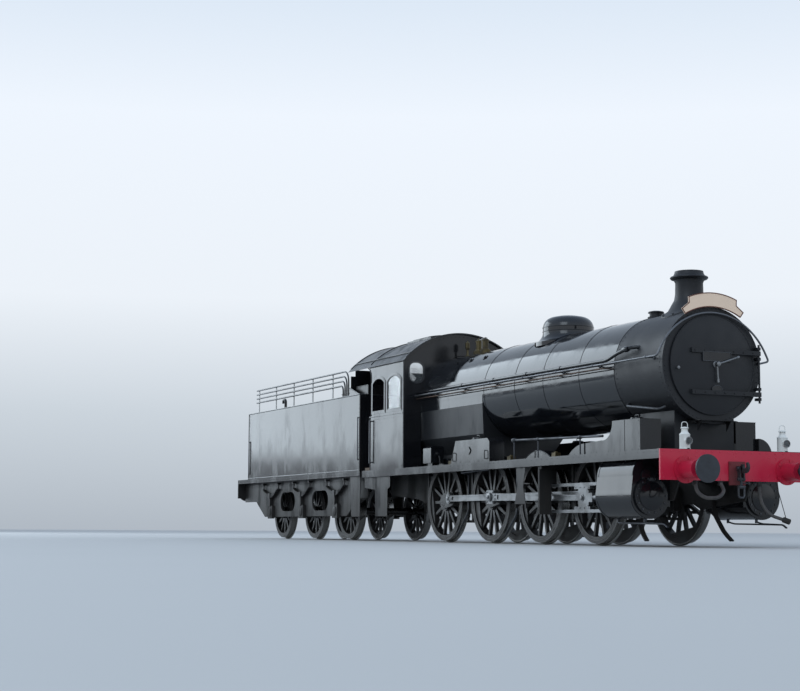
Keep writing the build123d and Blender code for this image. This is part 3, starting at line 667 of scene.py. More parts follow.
class Piece:
    """Gathers forms of one finish on one body into one mesh."""

    def __init__(self, name: str, body: str, look: "Look", bevel: float = 0.0) -> None:
        """Starts an empty piece; bevel is the width of its softened edges in metres."""
        self.name, self.body, self.look, self.bevel = name, body, look, bevel
        self.mesh = bmesh.new()

    def loft(self, rings: Sequence[Sequence[Vector]], closed: bool = False) -> "Piece":
        """Joins rings with faces.

        Args:
            rings: rings of points, all of the same count.
            closed: whether the last ring joins the first; if not, both ends are capped.

        Returns:
            The piece itself.
        """
        made = [[self.mesh.verts.new(p) for p in ring] for ring in rings]
        pairs = list(zip(made, made[1:])) + ([(made[-1], made[0])] if closed else [])
        for low, high in pairs:
            for i in range(len(low)):
                j = (i + 1) % len(low)
                self.mesh.faces.new((low[i], low[j], high[j], high[i]))
        if not closed:
            self.mesh.faces.new(made[0][::-1])
            self.mesh.faces.new(made[-1])
        return self

    def prism(self, plane: str, outline: Sequence[Pair], low: float, high: float) -> "Piece":
        """A flat outline given depth along the plane's axis."""
        return self.loft([[spot(plane, u, v, w) for u, v in outline] for w in (low, high)])

    def box(self, x: Sequence[float], y: Sequence[float], z: Sequence[float]) -> "Piece":
        """A plate or block between limits."""
        return self.prism("Z", [(x[0], y[0]), (x[1], y[0]), (x[1], y[1]), (x[0], y[1])], *z)

    def slab(self, rear: float, front: float, y: Sequence[float], z: Sequence[float]) -> "Piece":
        """A plate or block between two distances behind the front beam."""
        return self.box((back(rear), back(front)), y, z)

    def band(self, plane: str, outer: Sequence[Pair], inner: Sequence[Pair], low: float,
             high: float) -> "Piece":
        """A closed strip between two outlines.

        Args:
            plane: the axis it has depth along.
            outer: the outer outline.
            inner: the inner one, of as many corners.
            low: where its depth starts.
            high: where its depth ends.

        Returns:
            The piece itself.
        """
        rings = [[spot(plane, *o, low), spot(plane, *o, high), spot(plane, *i, high), spot(plane, *i, low)]
                 for o, i in zip(outer, inner)]
        return self.loft(rings, closed=True)

    def lathe(self, plane: str, centre: Pair, profile: Sequence[Pair], sides: int = 24, base: float = 0.0,
              way: int = 1) -> "Piece":
        """A turned form.

        Args:
            plane: the axis it turns about.
            centre: where that axis passes, in the other two coordinates.
            profile: its outline as pairs of a place along the axis and a radius.
            sides: the faces round it.
            base: where along the axis the profile's places are measured from.
            way: which way along the axis they are measured.

        Returns:
            The piece itself.
        """
        rings = []
        for along, radius in profile:
            ring = circle(*centre, max(radius, 1e-4), sides)
            rings.append([spot(plane, u, v, base + way * along) for u, v in ring])
        return self.loft(rings)

    def tube(self, points: Sequence[Point], radius: float, sides: int = 8, closed: bool = False) -> "Piece":
        """A round bar along a line.

        Args:
            points: the line through its middle.
            radius: its radius.
            sides: the faces round it.
            closed: whether its end joins its start.

        Returns:
            The piece itself.
        """
        line = [Vector(p) for p in points]
        rings, normal = [], None
        for i, p in enumerate(line):
            a = line[i - 1] if closed or i else p
            b = line[(i + 1) % len(line)] if closed or i < len(line) - 1 else p
            ahead = (b - a).normalized()
            normal = (normal - ahead * normal.dot(ahead) if normal else ahead.orthogonal()).normalized()
            side = ahead.cross(normal)
            turns = (2 * math.pi * k / sides for k in range(sides))
            rings.append([p + (normal * math.cos(t) + side * math.sin(t)) * radius for t in turns])
        return self.loft(rings, closed)

    def bent(self, points: Sequence[Point], bend: float, radius: float, sides: int = 8,
             steps: int = 5) -> "Piece":
        """A round bar along a line with rounded corners.

        Args:
            points: the line through its middle.
            bend: how far from a corner its bend starts.
            radius: the bar's radius.
            sides: the faces round it.
            steps: the stretches in each bend.

        Returns:
            The piece itself.
        """
        return self.tube(rounded(points, bend, steps), radius, sides)

    def done(self) -> bpy.types.Object:
        """Makes the object, softens its edges, and gives it its body and finish.

        Returns:
            The finished object.
        """
        bmesh.ops.recalc_face_normals(self.mesh, faces=self.mesh.faces)
        if self.bevel:
            sharp = [e for e in self.mesh.edges if e.is_manifold and e.calc_face_angle(0.0) > 0.7]
            bmesh.ops.bevel(self.mesh, geom=sharp, offset=self.bevel, segments=2, affect="EDGES",
                            clamp_overlap=True)
        data = bpy.data.meshes.new(self.name)
        self.mesh.to_mesh(data)
        self.mesh.free()
        data.polygons.foreach_set("use_smooth", [True] * len(data.polygons))
        data.set_sharp_from_angle(angle=math.radians(38))
        return settle(self.name, data, self.body, self.look)


def settle(name: str, data: bpy.types.Mesh, body: str, look: "Look") -> bpy.types.Object:
    """Puts a mesh in the scene.

    Args:
        name: the piece's name.
        data: its mesh.
        body: the body it rides on.
        look: its finish.

    Returns:
        The new object.
    """
    obj = bpy.data.objects.new(name, data)
    bpy.context.collection.objects.link(obj)
    data.materials.clear()
    data.materials.append(look.material())
    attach(obj, body)
    return obj


class Heads:
    """Rows of rivet or bolt heads on one body, set out by one Geometry Nodes tree."""

    def __init__(self, name: str, body: str, look: "Look", pitch: float, radius: float,
                 sides: int = 0) -> None:
        """Starts with no rows.

        Args:
            name: the piece's name.
            body: the body it rides on.
            look: its finish.
            pitch: the distance from head to head.
            radius: a head's radius.
            sides: the flats on a bolt's head, or 0 for domed rivets.
        """
        self.name, self.body, self.look = name, body, look
        self.pitch, self.radius, self.sides = pitch, radius, sides
        self.points: list[Vector] = []
        self.outs: list[Vector] = []
        self.edges: list[tuple[int, int]] = []

    def row(self, points: Sequence[Point], out: Point | Sequence[Point], closed: bool = False) -> "Heads":
        """Adds a row along a line.

        Args:
            points: the line's points.
            out: which way the heads face, once or for each point.
            closed: whether the line's end joins its start.

        Returns:
            The rows themselves.
        """
        start = len(self.points)
        self.points += [Vector(p) for p in points]
        outs = [Vector(out)] * len(points) if isinstance(out[0], (int, float)) else [Vector(o) for o in out]
        self.outs += outs
        self.edges += [(start + i, start + i + 1) for i in range(len(points) - 1)]
        if closed:
            self.edges.append((len(self.points) - 1, start))
        return self

    def along(self, start: float, end: float, y: float, z: float, out: Point) -> "Heads":
        """Adds a level row between two distances behind the front beam."""
        return self.row([(back(start), y, z), (back(end), y, z)], out)

    def upright(self, x: float, y: float, low: float, high: float, out: Point) -> "Heads":
        """Adds an upright row."""
        return self.row([(x, y, low), (x, y, high)], out)

    def ring(self, plane: str, centre: Pair, radius: float, along: float, way: float = 0.0,
             span: Pair = (0.0, 360.0)) -> "Heads":
        """Adds an arc of heads.

        Args:
            plane: the axis the arc goes round.
            centre: where that axis passes, in the other two coordinates.
            radius: the arc's radius.
            along: the arc's place along the axis.
            way: which way along the axis the heads face, or 0 for outward.
            span: where the arc starts and ends, in degrees.

        Returns:
            The rows themselves.
        """
        closed = abs(span[1] - span[0]) > 359
        flat = arc(*centre, radius, *span, steps=48)[: 48 if closed else 49]
        points = [spot(plane, u, v, along) for u, v in flat]
        if way:
            return self.row(points, tuple(spot(plane, 0, 0, way)), closed)
        outs = [spot(plane, u - centre[0], v - centre[1], 0).normalized() for u, v in flat]
        return self.row(points, [tuple(o) for o in outs], closed)

    def tree(self) -> bpy.types.NodeTree:
        """The node tree that sets heads along the rows.

        Returns:
            A tree whose inputs are Rows, Pitch, Radius, Height and Finish.
        """
        tree = bpy.data.node_groups.new(f"{self.name}_rows", "GeometryNodeTree")
        face = tree.interface
        face.new_socket("Rows", in_out="INPUT", socket_type="NodeSocketGeometry")
        for title in ("Pitch", "Radius", "Height"):
            face.new_socket(title, in_out="INPUT", socket_type="NodeSocketFloat")
        face.new_socket("Finish", in_out="INPUT", socket_type="NodeSocketMaterial")
        face.new_socket("Heads", in_out="OUTPUT", socket_type="NodeSocketGeometry")
        new, link = tree.nodes.new, tree.links.new
        given, end = new("NodeGroupInput"), new("NodeGroupOutput")
        line, spread = new("GeometryNodeMeshToCurve"), new("GeometryNodeResampleCurve")
        spread.mode = "LENGTH"
        outward = new("GeometryNodeInputNamedAttribute")
        outward.data_type = "FLOAT_VECTOR"
        outward.inputs["Name"].default_value = "out"
        turn = new("FunctionNodeAlignRotationToVector")
        turn.axis = "Z"
        size = new("ShaderNodeCombineXYZ")
        if self.sides:
            head = new("GeometryNodeMeshCylinder")
            head.inputs["Vertices"].default_value = self.sides
            head.inputs["Radius"].default_value = 1.0
            head.inputs["Depth"].default_value = 2.0
        else:
            head = new("GeometryNodeMeshUVSphere")
            head.inputs["Segments"].default_value = 8
            head.inputs["Rings"].default_value = 5
        place, real = new("GeometryNodeInstanceOnPoints"), new("GeometryNodeRealizeInstances")
        smooth, paint = new("GeometryNodeSetShadeSmooth"), new("GeometryNodeSetMaterial")
        smooth.inputs["Shade Smooth"].default_value = not self.sides
        for a, b in (
            (given.outputs["Rows"], line.inputs["Mesh"]),
            (line.outputs["Curve"], spread.inputs["Curve"]),
            (given.outputs["Pitch"], spread.inputs["Length"]),
            (spread.outputs["Curve"], place.inputs["Points"]),
            (head.outputs["Mesh"], place.inputs["Instance"]),
            (outward.outputs["Attribute"], turn.inputs["Vector"]),
            (turn.outputs["Rotation"], place.inputs["Rotation"]),
            (given.outputs["Radius"], size.inputs[0]),
            (given.outputs["Radius"], size.inputs[1]),
            (given.outputs["Height"], size.inputs[2]),
            (size.outputs[0], place.inputs["Scale"]),
            (place.outputs["Instances"], real.inputs["Geometry"]),
            (real.outputs["Geometry"], smooth.inputs["Geometry"]),
            (smooth.outputs["Geometry"], paint.inputs["Geometry"]),
            (given.outputs["Finish"], paint.inputs["Material"]),
            (paint.outputs["Geometry"], end.inputs["Heads"]),
        ):
            link(a, b)
        return tree

    def done(self) -> bpy.types.Object:
        """Evaluates the rows into one plain mesh.

        Returns:
            The finished object.
        """
        rows = bpy.data.meshes.new(f"{self.name}_line")
        rows.from_pydata(self.points, self.edges, [])
        outs = rows.attributes.new("out", "FLOAT_VECTOR", "POINT")
        outs.data.foreach_set("vector", [c for o in self.outs for c in o])
        maker = bpy.data.objects.new(f"{self.name}_maker", rows)
        bpy.context.collection.objects.link(maker)
        modifier = maker.modifiers.new("heads", "NODES")
        tree = self.tree()
        modifier.node_group = tree
        given = {"Pitch": self.pitch, "Radius": self.radius, "Height": self.radius * 0.62,
                 "Finish": self.look.material()}
        for item in tree.interface.items_tree:
            if item.in_out == "INPUT" and item.name in given:
                modifier[item.identifier] = given[item.name]
        graph = bpy.context.evaluated_depsgraph_get()
        data = bpy.data.meshes.new_from_object(maker.evaluated_get(graph))
        maker.modifiers.clear()
        bpy.data.objects.remove(maker)
        data.name = self.name
        log.info("%s: %d faces", self.name, len(data.polygons))
        return settle(self.name, data, self.body, self.look)


def sided(side: int, low: float, high: float) -> Pair:
    """Y limits on one side, in rising order."""
    return tuple(sorted((side * low, side * high)))


def window_outline(near: float, far: float) -> list[Pair]:
    """The arched opening of a cab side window, seen square to the side.

    Args:
        near: how far behind the beam its front edge is.
        far: how far behind the beam its rear edge is.

    Returns:
        Its corners as X and Z.
    """
    half, rise = (far - near) / 2, 0.105
    radius = (half**2 + rise**2) / (2 * rise)
    lean = math.degrees(math.asin(half / radius))
    top = arc(back((near + far) / 2), RAIL + 3.135 - radius, radius, 90 - lean, 90 + lean, 10)
    return [(back(far), RAIL + 2.46), (back(near), RAIL + 2.46), *top]


ROOF_R = (1.215**2 + 0.53**2) / (2 * 0.53)
ROOF_Z = RAIL + 3.915 - ROOF_R
BOILER_R = 0.85
SMOKE_R = 0.845
TANK_Y = 1.24
TANK_TOP = RAIL + 2.87
AXLE_Z = RAIL + 0.7015
CYLINDER_Y = 0.975
CAB_FRONT = 8.62
CAB_Y = 1.215
BEAM_LOW = DECK - 0.43
TENDER_END = 17.9
BUFFER_Y = 0.87
BUFFER_Z = RAIL + 1.055
# the circle of each buffer's bolts, and the pitch that sets four on it
BUFFER_BOLTS_R = 0.168
BUFFER_BOLTS_PITCH = 2 * math.pi * BUFFER_BOLTS_R / 4.01
HAND_Z = RAIL + 2.7
HAND_Y = 0.98
# how far behind the beam the axles are, and their wheels' radii
COUPLED = (2.44, 4.167, 5.894, 7.672)
COUPLED_R = 0.7015
TENDER_AXLES = (12.14, 14.07, 16.0)
TENDER_R = 0.5715
WHEEL_BODIES = ("leading_wheels", "second_wheels", "driving_wheels", "trailing_wheels", "tender_front_wheels",
                "tender_middle_wheels", "tender_rear_wheels")
WHEELS = dict(zip(WHEEL_BODIES, [(d, COUPLED_R) for d in COUPLED] + [(d, TENDER_R) for d in TENDER_AXLES]))
CRANK_R = 0.3302
CRANK_TURNS = {-1: math.radians(10.0), 1: math.radians(100.0)}


def crank_spot(side: int, distance: float) -> Pair:
    """X and Z of a crank pin at rest."""
    turn = CRANK_TURNS[side]
    return back(distance) + CRANK_R * math.cos(turn), AXLE_Z + CRANK_R * math.sin(turn)


@dataclass
class FrontEnd:
    """Drawgear, hoses, guard irons, lamps and board ahead of the smokebox."""

    body: str = "engine"
    lamps_y: Pair = (-0.79, 0.90)
    board_z: float = RAIL + 3.455
    # distance ahead of the beam, Y and height above the rail
    brake_route: tuple[Point, ...] = ((-0.015, -0.70, 0.88), (0.06, -0.715, 0.74), (0.15, -0.64, 0.66),
                                      (0.16, -0.43, 0.665), (0.11, -0.29, 0.76), (-0.015, -0.27, 0.88))
    steam_route: tuple[Point, ...] = ((-0.015, 0.40, 0.88), (-0.025, 0.415, 0.64), (0.095, 0.47, 0.44),
                                      (0.33, 0.60, 0.355))

    def build(self) -> None:
        """Makes them all."""
        self.drawgear(back(0.0), 1, "front_drawgear", self.body, True)
        self.hoses()
        self.irons()
        self.lamps()
        self.board()
        self.beam_rows()

    @staticmethod
    def drawgear(face: float, way: int, name: str, body: str, shackle: bool) -> None:
        """A draw plate with its hook.

        Args:
            face: X of the beam's face.
            way: which way the hook points along X.
            name: what the pieces' names start with.
            body: the body they ride on.
            shackle: whether a screw shackle hangs on the hook.
        """
        plate = Piece(f"{name}_plate", body, Look.DRAW_RED, 0.004)
        x = sorted((face, face + way * 0.02))
        plate.box(x, (-0.14, 0.14), (RAIL + 0.85, RAIL + 1.185)).done()
        hook_z = RAIL + 1.085
        hook = Piece(f"{name}_hook", body, Look.BUFFER, 0.005)
        bend = face + way * 0.205
        hook.box(sorted((face, bend - way * 0.05)), (-0.02, 0.02), (hook_z - 0.034, hook_z + 0.034))
        start, end = (150, 410) if way > 0 else (30, -230)
        outer = arc(bend, hook_z + 0.018, 0.088, start, end, 22)
        inner = arc(bend + way * 0.004, hook_z + 0.034, 0.040, start, end, 22)
        hook.prism("Y", outer + inner[::-1], -0.02, 0.02)
        pin = face + way * 0.105
        if shackle:
            pin_ends = [(-0.066, 0.018), (-0.062, 0.022), (0.062, 0.022), (0.066, 0.018)]
            hook.lathe("Y", (pin, hook_z), pin_ends, 14)
            for side in SIDES:
                link = [(pin + u, hook_z - 0.075 + v) for u, v in
                        arc(0, 0.075, 0.032, 0, 180, 8) + arc(0, -0.075, 0.032, 180, 360, 8)]
                hook.prism("Y", link, *sided(side, 0.024, 0.042))
            for z in (hook_z - 0.15, hook_z - 0.26):
                trunnion = [(-0.062, 0.02), (-0.058, 0.026), (0.058, 0.026), (0.062, 0.02)]
                hook.lathe("Y", (pin, z), trunnion, 14)
            thread = [(hook_z - 0.27 + i * 0.006, 0.017 + 0.003 * (i % 2)) for i in range(24)]
            hook.lathe("Z", (pin, 0.0), thread, 12)
            low = hook_z - 0.26
            bow = [(pin, -0.05, low), (pin, -0.05, low - 0.15), (pin, 0.05, low - 0.15), (pin, 0.05, low)]
            hook.bent(bow, 0.05, 0.016, 10)
            hook.tube([(pin, 0.0, hook_z - 0.2), (pin + 0.02, 0.11, hook_z - 0.21)], 0.008)
            hook.lathe("Y", (pin + 0.02, hook_z - 0.21),
                       [(0.1, 0.012), (0.105, 0.02), (0.125, 0.02), (0.13, 0.012)], 12)
        hook.done()
        bolts = Heads(f"{name}_bolts", body, Look.DRAW_RED, 0.09, 0.014, 6)
        for y in (-0.112, 0.112):
            bolts.row([(face + way * 0.02, y, RAIL + 0.885), (face + way * 0.02, y, RAIL + 1.155)],
                      (way, 0, 0))
        bolts.done()

    def hoses(self) -> None:
        """The brake and steam pipes under the beam, each held at both its ends."""
        x0 = back(0.0)
        hose = Piece("front_hoses", self.body, Look.RUBBER)
        brake, steam = self.brake_route, self.steam_route
        for radius, route in ((0.027, brake), (0.024, steam)):
            hose.bent([(x0 + a, y, RAIL + z) for a, y, z in route], 0.15, radius, 14, steps=8)
        hose.done()
        metal = Piece("hose_fittings", self.body, Look.FRAME, 0.003)
        for radius, (a, y, z) in ((0.036, brake[0]), (0.036, brake[-1]), (0.033, steam[0])):
            metal.lathe("Z", (x0 + a, y), [(RAIL + z - 0.04, radius), (RAIL + z - 0.02, radius + 0.006),
                                           (RAIL + z, radius), (BEAM_LOW, radius)], 16)
            metal.box((x0 - 0.028, x0 - 0.002), (y - 0.06, y + 0.06), (BEAM_LOW - 0.014, BEAM_LOW + 0.03))
        tip = (x0 + 0.33, 0.60, RAIL + 0.355)
        metal.tube([(x0 + 0.285, 0.575, RAIL + 0.372), (x0 + 0.37, 0.622, RAIL + 0.338)], 0.041, 14)
        metal.tube([tip, (x0 - 0.015, 0.69, BEAM_LOW)], 0.006)
        metal.done()

    def irons(self) -> None:
        """The two guard irons ahead of the leading wheels."""
        iron = Piece("guard_irons", self.body, Look.FRAME, 0.004)
        curve = [(1.4, 0.70), (1.4, 0.43), (1.385, 0.30), (1.33, 0.21), (1.25, 0.13), (1.16, 0.06)]
        y_at = ((0.70, 0.60), (0.47, 0.61), (0.33, 0.70), (0.06, 0.75))
        for side in SIDES:
            rings = []
            for (d, z), (e, w) in zip(curve, curve[1:] + [(1.13, 0.03)]):
                ahead = Vector((e - d, w - z)).normalized()
                thick = Vector((ahead.y, -ahead.x)) * 0.013
                y = next(y0 + (y1 - y0) * (z0 - z) / (z0 - z1)
                         for (z0, y0), (z1, y1) in zip(y_at, y_at[1:]) if z1 <= z <= z0)
                rings.append([Vector((back(d + s * thick.x), side * (y + q), RAIL + z + s * thick.y))
                              for s, q in ((-1, -0.04), (1, -0.04), (1, 0.04), (-1, 0.04))])
            iron.loft(rings)
        iron.done()

    def lamps(self) -> None:
        """Two enamelled oil lamps, each with its lens, hood and hoop."""
        body = Piece("lamps", self.body, Look.WHITE, 0.002)
        lens = Piece("lamp_lenses", self.body, Look.LENS)
        trim = Piece("lamp_rings", self.body, Look.STEEL)
        for y in self.lamps_y:
            x, z = back(0.115), DECK
            profile = [(0, 0.086), (0.014, 0.086), (0.02, 0.076), (0.205, 0.076), (0.212, 0.08),
                       (0.22, 0.076), (0.232, 0.06), (0.262, 0.044), (0.268, 0.034), (0.29, 0.034),
                       (0.294, 0.05), (0.3, 0.058), (0.306, 0.056), (0.316, 0.046), (0.322, 0.001)]
            body.lathe("Z", (x, y), [(z + a, r) for a, r in profile], 28)
            body.lathe("X", (y, z + 0.122), [(0.05, 0.052), (0.098, 0.052), (0.104, 0.056)], 24, base=x)
            body.bent([(x, y - 0.05, z + 0.24), (x, y - 0.05, z + 0.39), (x, y + 0.05, z + 0.39),
                       (x, y + 0.05, z + 0.24)], 0.044, 0.006, steps=6)
            outer, inner = (circle(y, z + 0.122, radius) for radius in (0.056, 0.044))
            trim.band("X", outer, inner, x + 0.1, x + 0.113)
            front = [(x + 0.1, 0.045), (x + 0.108, 0.04), (x + 0.114, 0.026), (x + 0.117, 0.001)]
            lens.lathe("X", (y, z + 0.122), front, 24)
            body.box((x - 0.1, x - 0.07), (y - 0.02, y + 0.02), (z, z + 0.16))
        for piece in (body, lens, trim):
            piece.done()

    def board(self) -> None:
        """The blank board over the door, with its dark rim and its two stays."""
        low = self.board_z

        def bow(half: float, end: float, rise: float) -> list[Pair]:
            """A shallow arc.

            Args:
                half: half its width.
                end: height of its ends.
                rise: how much higher its middle is.

            Returns:
                Its points.
            """
            radius = (half**2 + rise**2) / (2 * rise)
            lean = math.degrees(math.asin(half / radius))
            return arc(0.0, end + rise - radius, radius, 90 - lean, 90 + lean, 20)

        lower, upper = bow(0.485, low - 0.13, 0.13), bow(0.425, low + 0.13, 0.085)
        outline = [*lower[::-1], (0.545, low - 0.05), (0.42, low + 0.045), *upper, (-0.42, low + 0.045),
                   (-0.545, low - 0.05)]
        x = back(0.5)
        Piece("headboard", self.body, Look.CREAM, 0.002).prism("X", outline, x - 0.016, x).done()
        rim = Piece("headboard_rim", self.body, Look.BROWN, 0.001)
        rim.band("X", outline, inset(outline, 0.013), x - 0.002, x + 0.005).done()
        stays = Piece("headboard_stays", self.body, Look.SOOT, 0.002)
        for y in (-0.17, 0.17):
            stays.box((back(0.55), x - 0.015), (y - 0.02, y + 0.02), (low - 0.005, low + 0.09))
        stays.done()

    def beam_rows(self) -> None:
        """Rivets and bolts on the beam, lamp irons and the beam's top angle."""
        x = back(0.0)
        rows = Heads("beam_rivets", self.body, Look.RED, 0.13, 0.011)
        for z in (DECK - 0.03, BEAM_LOW + 0.03):
            rows.row([(x, -1.23, z), (x, 1.23, z)], (1, 0, 0))
        for y in (0.56, 0.69, 1.25):
            for side in SIDES:
                rows.upright(x, side * y, BEAM_LOW + 0.09, DECK - 0.09, (1, 0, 0))
        rows.done()
        bolts = Heads("front_buffer_bolts", self.body, Look.RED, BUFFER_BOLTS_PITCH, 0.017, 6)
        for side in SIDES:
            bolts.ring("X", (side * BUFFER_Y, BUFFER_Z), BUFFER_BOLTS_R, x + 0.025, 1.0)
        bolts.done()
        iron = Piece("front_lamp_irons", self.body, Look.FRAME, 0.002)
        for y in (self.lamps_y[0], 0.0, self.lamps_y[1]):
            iron.box((x - 0.03, x - 0.02), (y - 0.02, y + 0.02),
                     (DECK - 0.06, DECK + 0.02 if y else DECK + 0.1))
        angle = back(0.015)
        iron.box((angle - 0.06, angle + 0.012), (-1.28, 1.28), (DECK, DECK + 0.006))
        iron.done()


@dataclass
class SmokeboxTrim:
    """Rivet rings, chimney, plates and small fittings of the smokebox and its door."""

    chimney_at: float = 1.09
    chimney_top: float = RAIL + 4.065
    flange_bolts_r: float = 0.405
    cap_at: float = 1.98
    rings_at: Pair = (0.64, 1.8)
    straps_z: Pair = (RAIL + 2.2, RAIL + 2.805)

    def build(self) -> None:
        """Makes them all."""
        x = back(0.55)
        rivets = Heads("smokebox_rivets", "engine", Look.SOOT, 0.075, 0.011)
        rivets.ring("X", (0.0, BOILER_Z), 0.822, x, 1.0)
        for d in self.rings_at:
            rivets.ring("X", (0.0, BOILER_Z), SMOKE_R, back(d), 0.0, (-50, 230))
        for side in SIDES:
            rivets.row([(back(0.78), side * 0.52, DECK + 0.05), (back(1.63), side * 0.52, DECK + 0.05)],
                       (0, side, 0))
        rivets.done()
        bolts = Heads("chimney_bolts", "engine", Look.SOOT, 0.27, 0.016, 6)
        points, outs = [], []
        for i in range(48):
            t = 2 * math.pi * i / 48
            y = self.flange_bolts_r * math.sin(t)
            lean = math.asin(y / (SMOKE_R + 0.03))
            out = Vector((0, math.sin(lean), math.cos(lean)))
            points.append((back(self.chimney_at) + self.flange_bolts_r * math.cos(t), y,
                           BOILER_Z + out.z * (SMOKE_R + 0.022)))
            outs.append(tuple(out))
        bolts.row(points, outs, True).done()
        self.chimney()
        self.door()
        self.fittings()

    def chimney(self) -> None:
        """A slimmer chimney on a saddle that follows the smokebox."""
        top, x = self.chimney_top, back(self.chimney_at)
        # radius, height, and how much the ring follows the smokebox's curve
        profile = [(0.165, RAIL + 3.4, 0.0), (0.165, top - 0.012, 0.0), (0.18, top, 0.0),
                   (0.212, top - 0.004, 0.0), (0.218, top - 0.035, 0.0), (0.236, top - 0.07, 0.0),
                   (0.278, top - 0.088, 0.0), (0.284, top - 0.105, 0.0), (0.27, top - 0.122, 0.0),
                   (0.226, top - 0.14, 0.0), (0.206, top - 0.18, 0.0), (0.21, RAIL + 3.72, 0.0),
                   (0.226, RAIL + 3.63, 0.15), (0.262, RAIL + 3.58, 0.5), (0.32, 0.05, 1.0),
                   (0.39, 0.022, 1.0), (0.425, 0.018, 1.0), (0.43, -0.004, 1.0)]
        rings = []
        for radius, height, follow in profile:
            ring = []
            for i in range(56):
                t = 2 * math.pi * i / 56
                y = radius * math.sin(t)
                shell = BOILER_Z + math.sqrt(SMOKE_R**2 - y**2)
                on = shell + (height if follow == 1.0 else height - BOILER_Z - SMOKE_R)
                z = on if follow == 1.0 else height * (1 - follow) + on * follow
                ring.append(Vector((x + radius * math.cos(t), y, z)))
            rings.append(ring)
        stack = Piece("chimney_stack", "engine", Look.SOOT)
        stack.loft(rings, closed=True)
        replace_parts(stack.done(), "chimney")

    def door(self) -> None:
        """The blank plates, the strap bolts, the rim and the two handles' grips."""
        face = back(0.545)
        plate = Piece("door_plates", "smokebox_door", Look.GLOSS, 0.003)
        x = face + 0.084
        low, high = RAIL + 2.652, RAIL + 2.795
        plate.box((x, x + 0.022), (-0.235, 0.265), (low, high))
        oval = [(0.02 + 0.092 * math.cos(t), RAIL + 2.25 + 0.06 * math.sin(t))
                for t in (2 * math.pi * i / 28 for i in range(28))]
        plate.prism("X", oval, x - 0.016, x + 0.006).done()
        rim = Piece("door_plate_rims", "smokebox_door", Look.BUFFER, 0.001)
        outline = [(-0.235, low), (0.265, low), (0.265, high), (-0.235, high)]
        rim.band("X", outline, inset(outline, 0.009), x + 0.02, x + 0.027)
        rim.band("X", oval, inset(oval, 0.008), x + 0.004, x + 0.01)
        rim.done()
        edge = Piece("door_rim", "smokebox_door", Look.SOOT)
        edge.tube(hoop("X", (0.0, BOILER_Z), 0.728, face + 0.02, 72), 0.009, 6, True).done()
        handles = Piece("door_handles", "smokebox_door", Look.STEEL, 0.002)
        front = face + 0.095
        handles.lathe("X", (0.0, BOILER_Z), [(-0.01, 0.05), (0.01, 0.05), (0.016, 0.036), (0.078, 0.034),
                                             (0.084, 0.026)], 20, base=front)
        for out, y, z in ((0.06, 0.35, 0.115), (0.035, 0.012, -0.245)):
            handles.tube([(front + out, 0.0, BOILER_Z), (front + out, y, BOILER_Z + z)], 0.013, 12)
            end = Vector((0, y, z)).normalized() * 0.03
            handles.tube([(front + out, y - end.y, BOILER_Z + z - end.z), (front + out, y, BOILER_Z + z),
                          (front + out, y + end.y * 0.7, BOILER_Z + z + end.z * 0.7)], 0.019, 12)
        knob = [(face + 0.02, 0.014), (face + 0.07, 0.014), (face + 0.074, 0.024), (face + 0.09, 0.024),
                (face + 0.096, 0.012)]
        handles.lathe("X", (-0.637, BOILER_Z - 0.07), knob, 16)
        handles.done()
        bolts = Heads("door_bolts", "smokebox_door", Look.SOOT, 0.17, 0.013, 6)
        for z in self.straps_z:
            bolts.row([(face + 0.105, -0.36, z), (face + 0.105, 0.66, z)], (1, 0, 0))
        bolts.done()

    def fittings(self) -> None:
        """The cap behind the chimney, the lower pipe and the step below the door."""
        top = BOILER_Z + BOILER_R
        cap = Piece("snifting_cap", "engine", Look.SOOT, 0.003)
        cap.lathe("Z", (back(self.cap_at), 0.0),
                  [(-0.02, 0.13), (0.02, 0.13), (0.026, 0.1), (0.075, 0.1), (0.08, 0.125), (0.1, 0.12),
                   (0.112, 0.07), (0.114, 0.001)], 24, base=top)
        cap.done()
        pipe = Piece("smokebox_pipes", "engine", Look.BUFFER)
        pipe.bent([at(1.73, -0.66, 2.10), at(1.70, -0.72, 2.06), at(0.85, -0.72, 1.96), at(0.8, -0.64, 2.0)],
                  0.05, 0.022, 10)
        pipe.done()
        ledge = Piece("smokebox_ledge", "engine", Look.FRAME, 0.004)
        ledge.slab(0.57, 0.44, (-0.3, 0.3), (RAIL + 1.79, RAIL + 1.8))
        for y in (-0.25, 0.25):
            gusset = [(back(0.57), RAIL + 1.79), (back(0.45), RAIL + 1.79), (back(0.57), RAIL + 1.64)]
            ledge.prism("Y", gusset, y - 0.006, y + 0.006)
        ledge.slab(0.77, 0.56, (-0.3, 0.3), (RAIL + 1.76, RAIL + 1.8))
        ledge.done()


